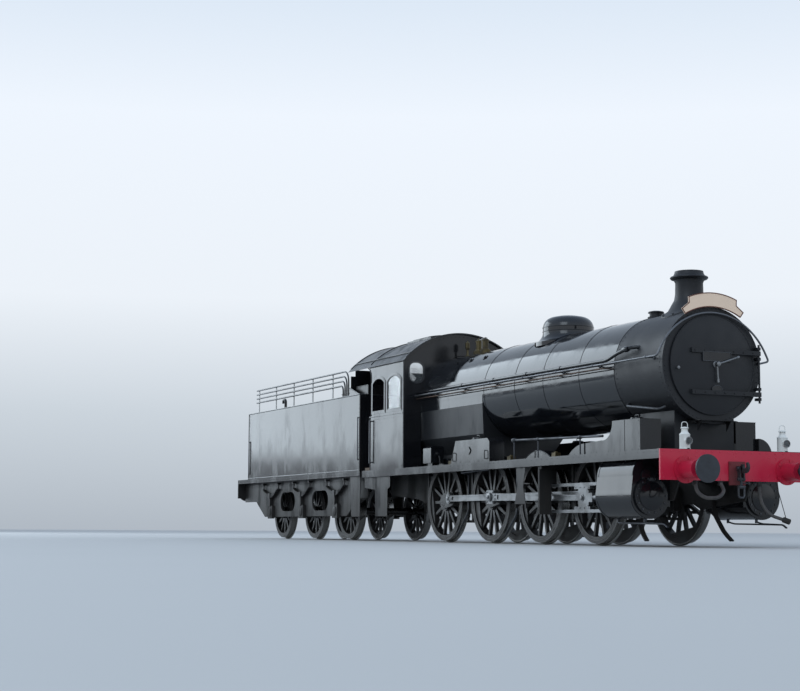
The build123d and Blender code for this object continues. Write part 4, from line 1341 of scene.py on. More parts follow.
@dataclass
class Rails:
    """Handrails, pipes and rods along the boiler."""

    pillars: tuple[float, ...] = (2.25, 3.35, 4.45, 5.6, 6.8, 8.0)

    def build(self) -> None:
        """Makes them all."""
        self.handrails()
        self.pipes()
        self.footplate()

    def handrails(self) -> None:
        """Both rails, the arch over the door, the knobs and the cab's uprights."""
        x, cab = back(0.5), back(CAB_FRONT)
        lean = math.radians(26.7)
        bend_y, bend_z = HAND_Y - 0.11 * math.sin(lean), HAND_Z + 0.11 * math.cos(lean)
        crown = bend_z + bend_y / math.cos(lean) * (1 - math.sin(lean))
        radius = (bend_y**2 + (crown - bend_z) ** 2) / (2 * (crown - bend_z))
        half = math.degrees(math.asin(bend_y / radius))
        arch = [(x, y, z) for y, z in arc(0.0, crown - radius, radius, 90 + half, 90 - half, 36)]
        route = rounded([(cab, -HAND_Y, HAND_Z), (x, -HAND_Y, HAND_Z), arch[0]], 0.1, 8)[:-1] + arch
        route += rounded([arch[-1], (x, HAND_Y, HAND_Z), (x, 0.812, HAND_Z - 0.04)], 0.05, 6)[1:]
        rail = Piece("handrails", "engine", Look.RAIL)
        rail.tube(route, 0.015, 12)
        rail.tube([(x, 0.812, HAND_Z - 0.04), (back(0.552), 0.812, HAND_Z - 0.04)], 0.018, 12)
        rail.tube([(cab, HAND_Y, HAND_Z), (back(0.75), HAND_Y, HAND_Z)], 0.015, 12)
        for d in (0.79, *self.pillars):
            for side in SIDES:
                shell = SMOKE_R if d < 1.86 else BOILER_R
                foot = math.sqrt(shell**2 - (HAND_Z - BOILER_Z) ** 2)
                knob = [(foot - 0.01, 0.03), (foot + 0.012, 0.028), (foot + 0.02, 0.012),
                        (HAND_Y - 0.026, 0.011), (HAND_Y - 0.02, 0.017), (HAND_Y, 0.024),
                        (HAND_Y + 0.02, 0.017), (HAND_Y + 0.026, 0.004)]
                rail.lathe("Y", (back(d), HAND_Z), [(side * y, r) for y, r in knob], 14)
        for side in SIDES:
            for z in (RAIL + 1.5, RAIL + 2.3):
                rail.tube([(back(10.11), side * 1.212, z), (back(10.11), side * 1.26, z)], 0.012)
            rail.tube([at(10.11, side * 1.26, 1.48), at(10.11, side * 1.26, 2.32)], 0.014, 10)
        rail.done()

    def pipes(self) -> None:
        """The ejector's pipe with its oil pipe, and the reach rod below."""
        y, z, cab = -0.915, HAND_Z + 0.06, back(CAB_FRONT)
        pipe = Piece("ejector_pipe", "engine", Look.GLOSS)
        pipe.bent([(cab, y, z), (back(1.95), y, z), (back(1.65), y, z + 0.08),
                   (back(1.33), y + 0.025, z + 0.14), (back(1.23), -0.74, z + 0.145)], 0.09, 0.028, 14,
                  steps=6)
        for d in self.pillars[1:]:
            pipe.lathe("X", (y, z), [(-0.03, 0.036), (0.03, 0.036)], 16, base=back(d))
            pipe.tube([(back(d + 0.06), y, z), (back(d + 0.06), -0.8, z)], 0.012)
        elbow = [(back(1.5), 0.036), (back(1.44), 0.046), (back(1.4), 0.046), (back(1.36), 0.036)]
        pipe.lathe("X", (y + 0.01, z + 0.12), elbow, 16)
        pipe.done()
        oil = Piece("oil_pipes", "engine", Look.COPPER)
        oil.bent([(cab, -0.955, HAND_Z - 0.058), (back(1.99), -0.955, HAND_Z - 0.058),
                  (back(1.88), -SMOKE_R - 0.02, HAND_Z - 0.07), (back(1.82), -0.78, HAND_Z - 0.078)], 0.05,
                 0.011, 10)
        for d in self.pillars[1:]:
            oil.tube([(back(d + 0.06), -0.955, HAND_Z - 0.058), (back(d + 0.06), -0.82, HAND_Z - 0.058)],
                     0.008, 6)
        oil.done()
        rod = Piece("reach_rod", "engine", Look.BUFFER)
        z = RAIL + 1.64
        rod.tube([(back(4.63), -1.06, z + 0.034), (back(1.85), -1.06, z - 0.03)], 0.02, 12)
        rod.lathe("X", (-1.06, z + 0.034),
                  [(back(4.66), 0.02), (back(4.64), 0.036), (back(4.56), 0.036), (back(4.54), 0.02)], 12)
        for d in (2.5, 3.8, 4.6):
            top = z + 0.034 - (4.63 - d) * 0.023
            rod.tube([(back(d), -1.06, DECK), (back(d), -1.06, top)], 0.012)
            rod.lathe("X", (-1.06, top), [(-0.025, 0.03), (0.025, 0.03)], 12, base=back(d))
        rod.done()

    def footplate(self) -> None:
        """The lubricator, sandbox lids, seams, oil boxes and the left pipe cover."""
        box = Piece("lubricator", "engine", Look.GLOSS, 0.006)
        box.slab(7.9, 7.57, (-1.15, -0.89), (DECK + 0.06, RAIL + 1.675))
        box.slab(7.83, 7.64, (-1.09, -0.95), (DECK, DECK + 0.062))
        lid = [(-1.16, RAIL + 1.675), (-0.88, RAIL + 1.675), (-0.92, RAIL + 1.705), (-1.12, RAIL + 1.705)]
        box.prism("X", lid, back(7.91), back(7.56))
        box.lathe("X", (-1.02, RAIL + 1.56),
                  [(back(7.57), 0.05), (back(7.545), 0.05), (back(7.54), 0.03), (back(7.5), 0.03)], 18)
        box.tube([at(7.52, -1.02, 1.56), at(7.47, -1.02, 1.47), at(7.47, -1.02, 1.4)], 0.011)
        box.done()
        trim = Piece("sandbox_lids", "engine", Look.GLOSS, 0.003)
        for side in SIDES:
            for d, y, z in ((1.25, 0.84, RAIL + 1.82), (6.0, 1.0, RAIL + 1.75)):
                lid = [(z, 0.11), (z + 0.012, 0.11), (z + 0.018, 0.1), (z + 0.034, 0.096), (z + 0.042, 0.07),
                       (z + 0.044, 0.001)]
                trim.lathe("Z", (back(d), side * y), lid, 24)
                grip = [(back(d) + u, side * y, z + w)
                        for u, w in ((-0.05, 0.03), (-0.05, 0.075), (0.05, 0.075), (0.05, 0.03))]
                trim.bent(grip, 0.02, 0.007)
            y = sided(side, 1.018, 1.025)
            trim.slab(1.335, 1.305, y, (DECK, RAIL + 1.82))
            plate = [(back(1.66), side * 1.02), (back(0.892), side * 1.026), (back(0.892), side * 0.66),
                     (back(1.66), side * 0.66)]
            trim.prism("Z", plate, RAIL + 1.818, RAIL + 1.824)
            diamond = [(back(6.05) + u, RAIL + 1.56 + v)
                       for u, v in ((-0.07, 0), (0, -0.07), (0.07, 0), (0, 0.07))]
            trim.prism("Y", diamond, *sided(side, 1.149, 1.164))
            for d in (5.42, 6.62):
                handle = [(back(d), side * y, DECK + z)
                          for y, z in ((1.15, 0.06), (1.185, 0.06), (1.185, 0.2), (1.15, 0.2))]
                trim.bent(handle, 0.02, 0.008)
        trim.done()
        cover = Piece("pipe_cover", "engine", Look.GLOSS, 0.004)
        quarter = [(1.022, DECK), (1.262, DECK)] + arc(1.022, DECK, 0.24, 0, 90, 10)[1:]
        cover.prism("X", quarter, back(1.25), back(0.83)).done()
        oilers = Piece("oil_boxes", "engine", Look.BRASS, 0.002)
        for side in SIDES:
            for d in (3.42, 4.9, 7.1):
                y = side * 0.95
                oilers.slab(d + 0.06, d - 0.06, sided(side, 0.9, 1.0), (DECK, DECK + 0.085))
                oilers.lathe("Z", (back(d), y), [(0.085, 0.03), (0.1, 0.03), (0.108, 0.02)], 14, base=DECK)
        oilers.done()


@dataclass
class BoilerTrim:
    """Plugs, valves and seams on the boiler and firebox."""

    plugs_at: tuple[float, ...] = (6.6, 7.15, 7.7, 8.25)
    plug_lean: float = 40.0
    bands_at: tuple[float, ...] = (2.91, 4.04, 5.0, 6.11)
    valves_at: Pair = (7.64, 7.9)
    whistle_at: float = 8.37
    dome_at: float = 4.63

    def build(self) -> None:
        """Makes them all."""
        plugs = Piece("washout_plugs", "engine", Look.GLOSS, 0.002)
        for d in self.plugs_at:
            for side in SIDES:
                lean = math.radians(self.plug_lean)
                out = Vector((0, side * math.sin(lean), math.cos(lean)))
                foot = Vector((back(d), 0, BOILER_Z)) + out * BOILER_R
                plugs.tube([foot - out * 0.01, foot + out * 0.012], 0.058, 20)
                plugs.tube([foot, foot + out * 0.028], 0.026, 6)
        plugs.done()
        self.valves()
        bead = Piece("dome_bead", "engine", Look.CLADDING)
        for z, radius in ((RAIL + 3.53, 0.432), (RAIL + 3.60, 0.431)):
            bead.tube(hoop("Z", (back(self.dome_at), 0.0), radius, z, 60), 0.006, 6, True)
        bead.done()
        screws = Heads("band_screws", "engine", Look.CLADDING, 0.22, 0.008)
        for d in self.bands_at:
            screws.ring("X", (0.0, BOILER_Z), BOILER_R + 0.004, back(d), 0.0, (-30, 210))
        screws.done()

    def valves(self) -> None:
        """The safety valves' springs and levers, and the whistle."""
        top = BOILER_Z + BOILER_R
        brass = Piece("valve_tops", "engine", Look.BRASS, 0.001)
        for d in self.valves_at:
            x = back(d)
            brass.lathe("Z", (x, 0.0), [(0.06, 0.09), (0.075, 0.09), (0.085, 0.07), (0.1, 0.066)], 24,
                        base=top)
            brass.lathe("Z", (x, 0.0), [(0.24, 0.066), (0.262, 0.066), (0.268, 0.05), (0.285, 0.022),
                                        (0.3, 0.02), (0.306, 0.001)], 24, base=top)
        x = back(self.whistle_at)
        whistle = [(-0.012, 0.06), (0.02, 0.06), (0.026, 0.035), (0.045, 0.022), (0.14, 0.022), (0.146, 0.04),
                   (0.156, 0.04), (0.16, 0.03), (0.166, 0.044), (0.27, 0.044), (0.284, 0.03), (0.288, 0.012),
                   (0.305, 0.012), (0.31, 0.001)]
        brass.lathe("Z", (x, 0.0), [(top + z, r) for z, r in whistle], 22)
        brass.done()
        lever = Piece("valve_lever", "engine", Look.STEEL, 0.001)
        lever.tube([(back(7.77), 0.0, top + 0.02), (back(7.77), 0.0, top + 0.3)], 0.012)
        lever.slab(7.96, 7.58, (-0.009, 0.009), (top + 0.27, top + 0.29))
        lever.tube([(x, 0.02, top + 0.06), (x - 0.2, 0.1, top + 0.05)], 0.008)
        lever.done()


@dataclass
class CabTrim:
    """Window frames and panes, beading, gutters, roof and the cab's inside."""

    windows: tuple[Pair, ...] = ((8.74, 9.38), (9.48, 10.08))

    def build(self) -> None:
        """Makes them all."""
        self.glazing()
        self.beading()
        self.roof()
        self.rivets()
        self.inside()

    def glazing(self) -> None:
        """Arched side windows and the two front windows, each framed."""
        frames = Piece("window_frames", "engine", Look.RIM, 0.002)
        black = Piece("window_sashes", "engine", Look.GLOSS, 0.002)
        panes = Piece("window_panes", "engine", Look.GLASS)
        for side in SIDES:
            for i, (near, far) in enumerate(self.windows):
                outline = window_outline(near, far)
                frames.band("Y", inset(outline, -0.03), inset(outline, -0.006), *sided(side, 1.214, 1.224))
                black.band("Y", inset(outline, -0.008), inset(outline, 0.028), *sided(side, 1.2, 1.228))
                if i == 0:
                    panes.prism("Y", inset(outline, 0.02), *sided(side, 1.209, 1.213))
            front = [(side * 0.96 + u, RAIL + 3.15 + v) for u, v in
                     arc(0.03, 0.07, 0.12, 0, 90, 5) + arc(-0.03, 0.07, 0.12, 90, 180, 5)
                     + arc(-0.03, -0.07, 0.12, 180, 270, 5) + arc(0.03, -0.07, 0.12, 270, 360, 5)]
            x = back(CAB_FRONT)
            frames.band("X", inset(front, -0.022), inset(front, 0.012), x - 0.002, x + 0.012)
            panes.prism("X", inset(front, 0.004), x - 0.006, x - 0.002)
        for piece in (frames, black, panes):
            piece.done()

    def beading(self) -> None:
        """The waist shelf and the edge beads."""
        bead = Piece("cab_beading", "engine", Look.RIM)
        shelf = Piece("cab_waist", "engine", Look.RIM, 0.002)
        for side in SIDES:
            y = side * 1.217
            shelf.slab(10.19, 8.64, sided(side, 1.214, 1.234), (RAIL + 2.375, RAIL + 2.39))
            shelf.slab(10.19, 8.64, sided(side, 1.214, 1.222), (RAIL + 2.32, RAIL + 2.328))
            edge = [(back(10.178), y, DECK + 0.01), at(10.178, y, 2.398), at(10.132, y, 2.41),
                    at(10.132, y, 3.15), at(10.15, y, 3.24), at(10.2, y, 3.31), at(10.33, y, 3.38)]
            bead.tube(edge, 0.010, 8)
            bead.tube([(back(8.622), y, DECK + 0.01), at(8.622, y, 3.385)], 0.011, 8)
        bead.done()
        shelf.done()

    def roof(self) -> None:
        """Ribs across the roof, gutters along it and the sliding hatch on top."""
        def over(radius: float, y0: float, y1: float, steps: int = 20) -> list[Pair]:
            """Points of an arc about the roof's own centre."""
            ys = (y0 + (y1 - y0) * i / steps for i in range(steps + 1))
            return [(y, ROOF_Z + math.sqrt(radius**2 - y**2)) for y in ys]

        rib = Piece("roof_ribs", "engine", Look.ROOF, 0.002)
        outer, crown = ROOF_R + 0.008, 1.2
        for d in (8.575, 10.22, 11.215):
            rib.loft([[Vector((back(d + s * 0.016), y, z + h * 0.016))
                       for s, h in ((1, 0), (1, 1), (-1, 1), (-1, 0))]
                      for y, z in over(outer, -crown, crown, 30)])
        for side in SIDES:
            (y, z), = over(outer + 0.008, side * 1.1, side * 1.1, 1)[:1]
            rib.tube([(back(8.58), y, z), (back(11.2), y, z)], 0.013, 8)
        hatch = over(outer + 0.003, -0.4, 0.4, 10) + over(outer + 0.05, 0.4, -0.4, 10)
        rib.prism("X", hatch, back(9.95), back(9.25))
        for y in (-0.43, 0.43):
            runner = over(outer + 0.002, y - 0.02, y + 0.02, 2) + over(outer + 0.035, y + 0.02, y - 0.02, 2)
            rib.prism("X", runner, back(10.12), back(9.05))
        rib.done()

    def rivets(self) -> None:
        """Rows along the cab's sheets."""
        rows = Heads("cab_rivets", "engine", Look.GLOSS, 0.085, 0.007)
        for side in SIDES:
            y, out = side * CAB_Y, (0, side, 0)
            rows.row([(back(8.66), y, DECK + 0.05), at(8.66, y, 3.34)], out)
            rows.along(8.7, 10.12, y, DECK + 0.045, out)
            rows.row([at(8.72, y, 3.345), at(10.2, y, 3.345)], out)
            rows.row([(back(CAB_FRONT), side * 1.18, DECK + 0.05), at(CAB_FRONT, side * 1.18, 3.36)],
                     (1, 0, 0))
        arch = [(back(CAB_FRONT), y, ROOF_Z + math.sqrt((ROOF_R - 0.05) ** 2 - y**2))
                for y in (-1.14 + 2.28 * i / 30 for i in range(31))]
        rows.row(arch, (1, 0, 0))
        rows.ring("X", (0.0, BOILER_Z), BOILER_R + 0.04, back(CAB_FRONT), 1.0, (-2, 182))
        rows.done()

    def inside(self) -> None:
        """Backhead, fire door, gauges, wheel, pipes and seats."""
        face = back(8.95)
        head = Piece("backhead", "engine", Look.SOOT, 0.006)
        shape = ([(0.53, DECK + 0.06), (0.53, RAIL + 1.62)] + arc(0.0, BOILER_Z, 0.78, -38, 218, 36)
                 + [(-0.53, RAIL + 1.62), (-0.53, DECK + 0.06)])
        head.prism("X", shape, face - 0.035, face + 0.002)
        fire = DECK + 0.48
        ring = [(face - 0.03, 0.215), (face - 0.075, 0.215), (face - 0.085, 0.2), (face - 0.085, 0.165),
                (face - 0.05, 0.16), (face - 0.05, 0.001)]
        head.lathe("X", (0.0, fire), ring, 32)
        for z in (fire - 0.25, fire + 0.228):
            head.box((face - 0.07, face - 0.034), (-0.42, 0.42), (z, z + 0.022))
        head.box((face - 0.068, face - 0.05), (0.01, 0.3), (fire - 0.22, fire + 0.22))
        head.box((face - 0.13, face - 0.03), (-0.84, -0.79), (DECK + 0.06, DECK + 0.64))
        head.done()
        steel = Piece("cab_handles", "engine", Look.STEEL, 0.002)
        wheel = (-0.815, DECK + 0.66)
        steel.lathe("X", (0.0, BOILER_Z + 0.33),
                    [(-0.03, 0.07), (-0.05, 0.07), (-0.06, 0.038), (-0.15, 0.034)], 20, base=face)
        steel.tube([(face - 0.135, -0.03, BOILER_Z + 0.33), (face - 0.15, 0.2, BOILER_Z + 0.3),
                    (face - 0.15, 0.42, BOILER_Z + 0.22)], 0.014, 10)
        steel.tube(hoop("X", wheel, 0.18, face - 0.16, 40), 0.013, 8, True)
        for turn in (0, 60, 120):
            t = math.radians(turn)
            y, z = 0.18 * math.cos(t), 0.18 * math.sin(t)
            ends = [(face - 0.16, wheel[0] + w * y, wheel[1] + w * z) for w in (-1, 1)]
            steel.tube(ends, 0.009)
        steel.lathe("X", wheel, [(-0.19, 0.012), (-0.18, 0.03), (-0.04, 0.03)], 16, base=face)
        steel.done()
        brass = Piece("cab_gauges", "engine", Look.BRASS, 0.001)
        dials = Piece("cab_dials", "engine", Look.WHITE)
        glass = Piece("gauge_glasses", "engine", Look.LENS)
        for y, z, r in ((0.18, 0.6, 0.095), (-0.2, 0.6, 0.075), (-0.5, 0.42, 0.06)):
            brass.lathe("X", (y, BOILER_Z + z), [(-0.03, r * 0.8), (-0.04, r), (-0.075, r), (-0.08, r * 0.9),
                                                 (-0.07, r * 0.86)], 24, base=face)
            dials.lathe("X", (y, BOILER_Z + z), [(-0.05, r * 0.87), (-0.072, r * 0.87), (-0.073, 0.001)], 24,
                        base=face)
        for y in (-0.3, 0.3):
            for z in (0.08, -0.22):
                brass.tube([(face - 0.02, y, BOILER_Z + z), (face - 0.09, y, BOILER_Z + z)], 0.022, 12)
                brass.tube([(face - 0.08, y - 0.06, BOILER_Z + z), (face - 0.08, y + 0.03, BOILER_Z + z)],
                           0.009)
            glass.tube([(face - 0.08, y, BOILER_Z - 0.24), (face - 0.08, y, BOILER_Z + 0.1)], 0.013, 12)
        for piece in (brass, dials, glass):
            piece.done()
        pipes = Piece("cab_pipes", "engine", Look.COPPER)
        for i, (y0, z0, y1, z1) in enumerate(((-0.62, 0.3, -0.66, -1.1), (0.6, 0.32, 0.66, -1.15),
                                              (-0.5, 0.38, -0.58, -0.7), (0.18, 0.5, 0.5, -0.2),
                                              (-0.05, 0.62, 0.62, 0.1), (0.44, 0.1, 0.56, -1.1))):
            x = face - 0.05 - 0.012 * (i % 3)
            pipes.bent([(x, y0, BOILER_Z + z0), (x - 0.02, y1, BOILER_Z + z0 - 0.05),
                        (x - 0.02, y1, BOILER_Z + z1)], 0.08, 0.011 + 0.004 * (i % 2), 10, steps=6)
        pipes.done()
        wood = Piece("cab_seats", "engine", Look.TIMBER, 0.004)
        for side in SIDES:
            wood.slab(10.02, 9.55, sided(side, 0.86, 1.2), (DECK + 0.52, DECK + 0.55))
            wood.slab(9.98, 9.6, sided(side, 0.9, 1.195), (DECK + 0.061, DECK + 0.52))
        wood.done()


@dataclass
class Underparts:
    """Ashpan, brakes, steps and sand pipes under the engine's plate."""

    shoe_radii: Pair = (0.7095, 0.7595)
    shoe_span: Pair = (166, 200)
    brake_low: float = RAIL + 0.36
    brake_high: float = RAIL + 1.215
    pan_low: float = RAIL + 0.49
    pan_y: float = 0.47

    def build(self) -> None:
        """Makes them all."""
        self.ashpan()
        self.brakes()
        self.sand_pipes()
        steps = Piece("footsteps", "engine", Look.FRAME, 0.003)
        mid = [(3.9, 1.33), (4.26, 1.33), (4.2, 0.9), (4.29, 0.62), (3.92, 0.62), (4.0, 0.9)]
        cab = [(9.2, 1.33), (10.4, 1.33), (10.4, 1.01), (9.9, 0.96), (9.88, 0.45), (9.33, 0.45), (9.31, 0.96),
               (9.2, 1.01)]
        self.steps(steps, mid, ((3.92, 4.29, 0.62), (4.0, 4.2, 0.93)))
        self.steps(steps, cab, ((9.33, 9.88, 0.45), (9.32, 9.89, 0.78)))
        steps.done()

    @staticmethod
    def steps(piece: Piece, plate: Sequence[Pair], treads: Sequence[Point]) -> None:
        """A step's hanging plate and its treads with an upturned lip, on both sides.

        Args:
            piece: the piece they are added to.
            plate: the plate's corners, as distances behind the front beam and heights above the rail.
            treads: each tread's front, rear and height, measured the same way.
        """
        for side in SIDES:
            piece.prism("Y", [(back(d), RAIL + z) for d, z in plate], *sided(side, 1.216, 1.226))
            for near, far, z in treads:
                low = RAIL + z
                piece.slab(far, near, sided(side, 1.095, 1.218), (low, low + 0.008))
                piece.slab(far, near, sided(side, 1.095, 1.101), (low, low + 0.03))
                for x in (near + 0.01, far - 0.018):
                    piece.prism("X", [(side * 1.1, low), (side * 1.218, low), (side * 1.218, low - 0.08)],
                                back(x + 0.008), back(x))

    def ashpan(self) -> None:
        """The ashpan, arched over the trailing axle, with its doors and rivets."""
        top, low, axle = DECK - 0.06, self.pan_low, COUPLED[3]
        over = AXLE_Z + 0.165
        shape = [(6.3, top), (8.85, top), (8.85, low + 0.16), (axle + 0.19, low + 0.06),
                 (axle + 0.19, over - 0.09), (axle + 0.11, over), (axle - 0.11, over),
                 (axle - 0.19, over - 0.09), (axle - 0.19, low), (6.52, low), (6.3, low + 0.3)]
        pan = Piece("ashpan", "engine", Look.FRAME, 0.004)
        pan.prism("Y", [(back(d), z) for d, z in shape], -self.pan_y, self.pan_y)
        pan.slab(6.5, 6.29, (-0.36, 0.36), (low + 0.32, low + 0.55))
        pan.done()
        rows = Heads("ashpan_rivets", "engine", Look.FRAME, 0.09, 0.008)
        for side in SIDES:
            y = side * self.pan_y
            rows.along(6.35, 8.8, y, top - 0.04, (0, side, 0))
        rows.done()

    def brakes(self) -> None:
        """A hanger and block behind each coupled wheel, the beams across and the pull rod."""
        gear = Piece("brake_gear", "engine", Look.FRAME, 0.003)
        near, far = self.shoe_radii
        start, end = self.shoe_span
        lows, low_z, hang_z = [], self.brake_low, self.brake_high
        for d in COUPLED:
            x = back(d)
            hang = x - far - 0.022
            low = x - math.sqrt(far**2 - (AXLE_Z - low_z) ** 2) - 0.075
            lows.append(low)
            for side in SIDES:
                block = arc(x, AXLE_Z, near, start, end) + arc(x, AXLE_Z, far, end, start)
                gear.prism("Y", block, *sided(side, 0.724, 0.812))
                hanger = [(hang - 0.028, hang_z + 0.04), (hang + 0.028, hang_z + 0.04),
                          (hang + 0.032, AXLE_Z - 0.06), (low + 0.028, low_z - 0.03),
                          (low - 0.028, low_z - 0.03), (hang - 0.034, AXLE_Z - 0.06)]
                gear.prism("Y", hanger, *sided(side, 0.748, 0.774))
                gear.tube([(hang, side * 0.642, hang_z), (hang, side * 0.786, hang_z)], 0.022, 12)
            gear.tube([(low, -0.788, low_z), (low, 0.788, low_z)], 0.024, 12)
        gear.tube([(lows[-1], 0.0, low_z), (lows[0], 0.0, low_z)], 0.02, 10)
        gear.done()

    def sand_pipes(self) -> None:
        """Pipes from the sandboxes to the rails, and the cylinders' drain pipes."""
        pipe = Piece("sand_pipes", "engine", Look.BUFFER)
        under = DECK - 0.01
        for side in SIDES:
            y = side * 1.052
            pipe.bent([(back(5.5), y, under), at(5.5, y, 1.225), at(6.56, y, 1.195),
                       at(6.77, side * 0.79, 1.18), at(6.77, side * 0.79, 0.54), at(7.24, side * 0.78, 0.1)],
                      0.06, 0.017, 10, steps=6)
            pipe.bent([(back(5.03), side * 0.77, under), at(5.03, side * 0.77, 0.48),
                       at(5.46, side * 0.77, 0.1)], 0.09, 0.017, 10, steps=6)
            for d in (0.86, 1.56):
                z = AXLE_Z - 0.325
                pipe.tube([(back(d), side * CYLINDER_Y, z + 0.02), (back(d), side * CYLINDER_Y, z - 0.05)],
                          0.022, 12)
                pipe.bent([(back(d), side * CYLINDER_Y, z - 0.03),
                           (back(d - 0.08), side * (1.0 + d * 0.02), z - 0.06),
                           (back(0.3), side * (1.0 + d * 0.02), z - 0.075),
                           (back(0.22), side * (1.0 + d * 0.02), z - 0.12)], 0.04, 0.012)
        pipe.done()


@dataclass
class Cylinders:
    """Covers, studs, bands and glands of the two cylinders."""

    front_at: float = 0.685
    rear_at: float = 1.75
    bands_at: Pair = (0.745, 1.655)
    chest_rise: float = 0.285
    # the bands' rings: rise of the centre, radius and the arc that shows
    rings: tuple[tuple[float, float, Pair], ...] = ((0.0, 0.326, (-150, -12)),
                                                                   (0.285, 0.291, (0, 80)))

    def build(self) -> None:
        """Makes them all."""
        front = back(self.front_at)
        trim = Piece("cylinder_covers", "engine", Look.GLOSS, 0.003)
        studs = Heads("cylinder_studs", "engine", Look.BUFFER, 0.11, 0.015, 6)
        bright = Piece("glands", "engine", Look.STEEL, 0.002)
        for side in SIDES:
            y, chest = side * CYLINDER_Y, AXLE_Z + self.chest_rise
            trim.lathe("X", (y, AXLE_Z), [(-0.01, 0.21), (0.012, 0.205), (0.02, 0.16), (0.034, 0.09),
                                          (0.036, 0.001)], 36, base=front)
            studs.ring("X", (y, AXLE_Z), 0.242, front, 1.0)
            trim.lathe("X", (y, chest), [(back(0.725), 0.15), (back(0.7), 0.15), (back(0.694), 0.13),
                                         (back(0.68), 0.06), (back(0.678), 0.001)], 28)
            for d in self.bands_at:
                for rise, radius, span in self.rings:
                    centre = AXLE_Z + rise
                    outer = arc(y, centre, radius + 0.004, *span, 20)
                    if side < 0:
                        outer = [(2 * y - u, v) for u, v in outer]
                    trim.loft([[Vector((back(d + s * 0.02), u, v)) for s in (-1, 1)]
                               + [Vector((back(d + s * 0.02), y + (u - y) * 0.97,
                                          centre + (v - centre) * 0.97))
                                  for s in (1, -1)] for u, v in outer])
            rear = back(self.rear_at)
            outer, inner = (circle(y, AXLE_Z, radius) for radius in (0.075, 0.048))
            bright.band("X", outer, inner, rear - 0.04, rear + 0.002)
            studs.ring("X", (y, AXLE_Z), 0.27, back(1.68), -1.0)
        for piece in (trim, studs, bright):
            piece.done()


@dataclass
class Motion:
    """Nuts, washers, oil cups and bolts of the rods and crossheads."""

    # X of each side's crosshead pin at rest
    gudgeons: tuple[tuple[int, float], ...] = ((-1, 6.430645), (1, 6.031277))

    def build(self) -> None:
        """Makes them all, each on its own body."""
        for side, word in ((-1, "right"), (1, "left")):
            rod = Piece(f"coupling_rod_cups_{word}", f"coupling_rod_{word}", Look.BRASS, 0.001)
            for d in COUPLED:
                x, z = crank_spot(side, d)
                rod.lathe("Z", (x, side * 0.8875), [(0.11, 0.016), (0.128, 0.016), (0.132, 0.011),
                                                    (0.142, 0.011), (0.144, 0.001)], 12, base=z)
            rod.done()
            head = Piece(f"connecting_rod_trim_{word}", f"connecting_rod_{word}", Look.STEEL, 0.002)
            x, z = crank_spot(side, COUPLED[2])
            head.lathe("Y", (x, z), [(1.02, 0.068), (1.036, 0.066), (1.04, 0.05)], 28, way=side)
            head.lathe("Y", (x, z), [(1.036, 0.036), (1.056, 0.036), (1.06, 0.03)], 6, way=side)
            gudgeon = dict(self.gudgeons)[side]
            lean = math.atan2(AXLE_Z - z, gudgeon - x)
            for reach in (-0.105, 0.105, 0.19):
                for across in (-0.08, 0.08) if reach < 0.15 else (-0.035, 0.035):
                    u = x + reach * math.cos(lean) - across * math.sin(lean)
                    v = z + reach * math.sin(lean) + across * math.cos(lean)
                    head.lathe("Y", (u, v), [(1.002, 0.017), (1.016, 0.017), (1.018, 0.012)], 6, way=side)
            head.done()
            cross = Piece(f"crosshead_trim_{word}", f"crosshead_{word}", Look.STEEL, 0.002)
            cross.lathe("Y", (gudgeon, AXLE_Z), [(1.02, 0.06), (1.03, 0.058), (1.032, 0.034), (1.05, 0.034),
                                                 (1.052, 0.026)], 24, way=side)
            cross.done()
            bolts = Heads(f"crosshead_bolts_{word}", f"crosshead_{word}", Look.STEEL, 0.12, 0.012, 6)
            for z in (AXLE_Z + 0.157, AXLE_Z - 0.157):
                bolts.row([(gudgeon - 0.19, side * 1.022, z), (gudgeon + 0.19, side * 1.022, z)],
                          (0, side, 0))
            bolts.done()
        bars = Heads("slide_bar_bolts", "engine", Look.STEEL, 0.06, 0.013, 6)
        for side in SIDES:
            for z in (AXLE_Z + 0.204, AXLE_Z - 0.204):
                bars.along(1.78, 1.9, side * 1.02, z, (0, side, 0))
        bars.done()


@dataclass
class WheelTrim:
    """Tyre lines, hub rings and crank-pin nuts on each wheelset."""

    face_y: float = 0.82
    # how far inside the tread each line lies, and its thickness
    lines: tuple[Pair, ...] = ((0.052, 0.004), (0.1, 0.005))

    def build(self) -> None:
        """Makes one piece a wheelset."""
        for body, (d, radius) in WHEELS.items():
            x, z = back(d), RAIL + radius
            trim = Piece(f"{body}_rings", body, Look.TYRE, 0.001)
            nuts = Piece(f"{body}_nuts", body, Look.STEEL, 0.002)
            coupled = radius > 0.6
            for side in SIDES:
                for inward, w in self.lines:
                    trim.tube(hoop("Y", (x, z), radius - inward, side * self.face_y, 72), w, 4, True)
                if coupled:
                    trim.lathe("Y", (x, z), [(0.8205, 0.085), (0.828, 0.08), (0.83, 0.03), (0.824, 0.001)],
                               28, way=side)
                    if body != "driving_wheels":
                        u, v = crank_spot(side, d)
                        nuts.lathe("Y", (u, v), [(0.9155, 0.08), (0.922, 0.078)], 28, way=side)
                        nuts.lathe("Y", (u, v), [(0.92, 0.04), (0.934, 0.04), (0.937, 0.034)], 6, way=side)
            trim.done()
            if coupled and body != "driving_wheels":
                nuts.done()


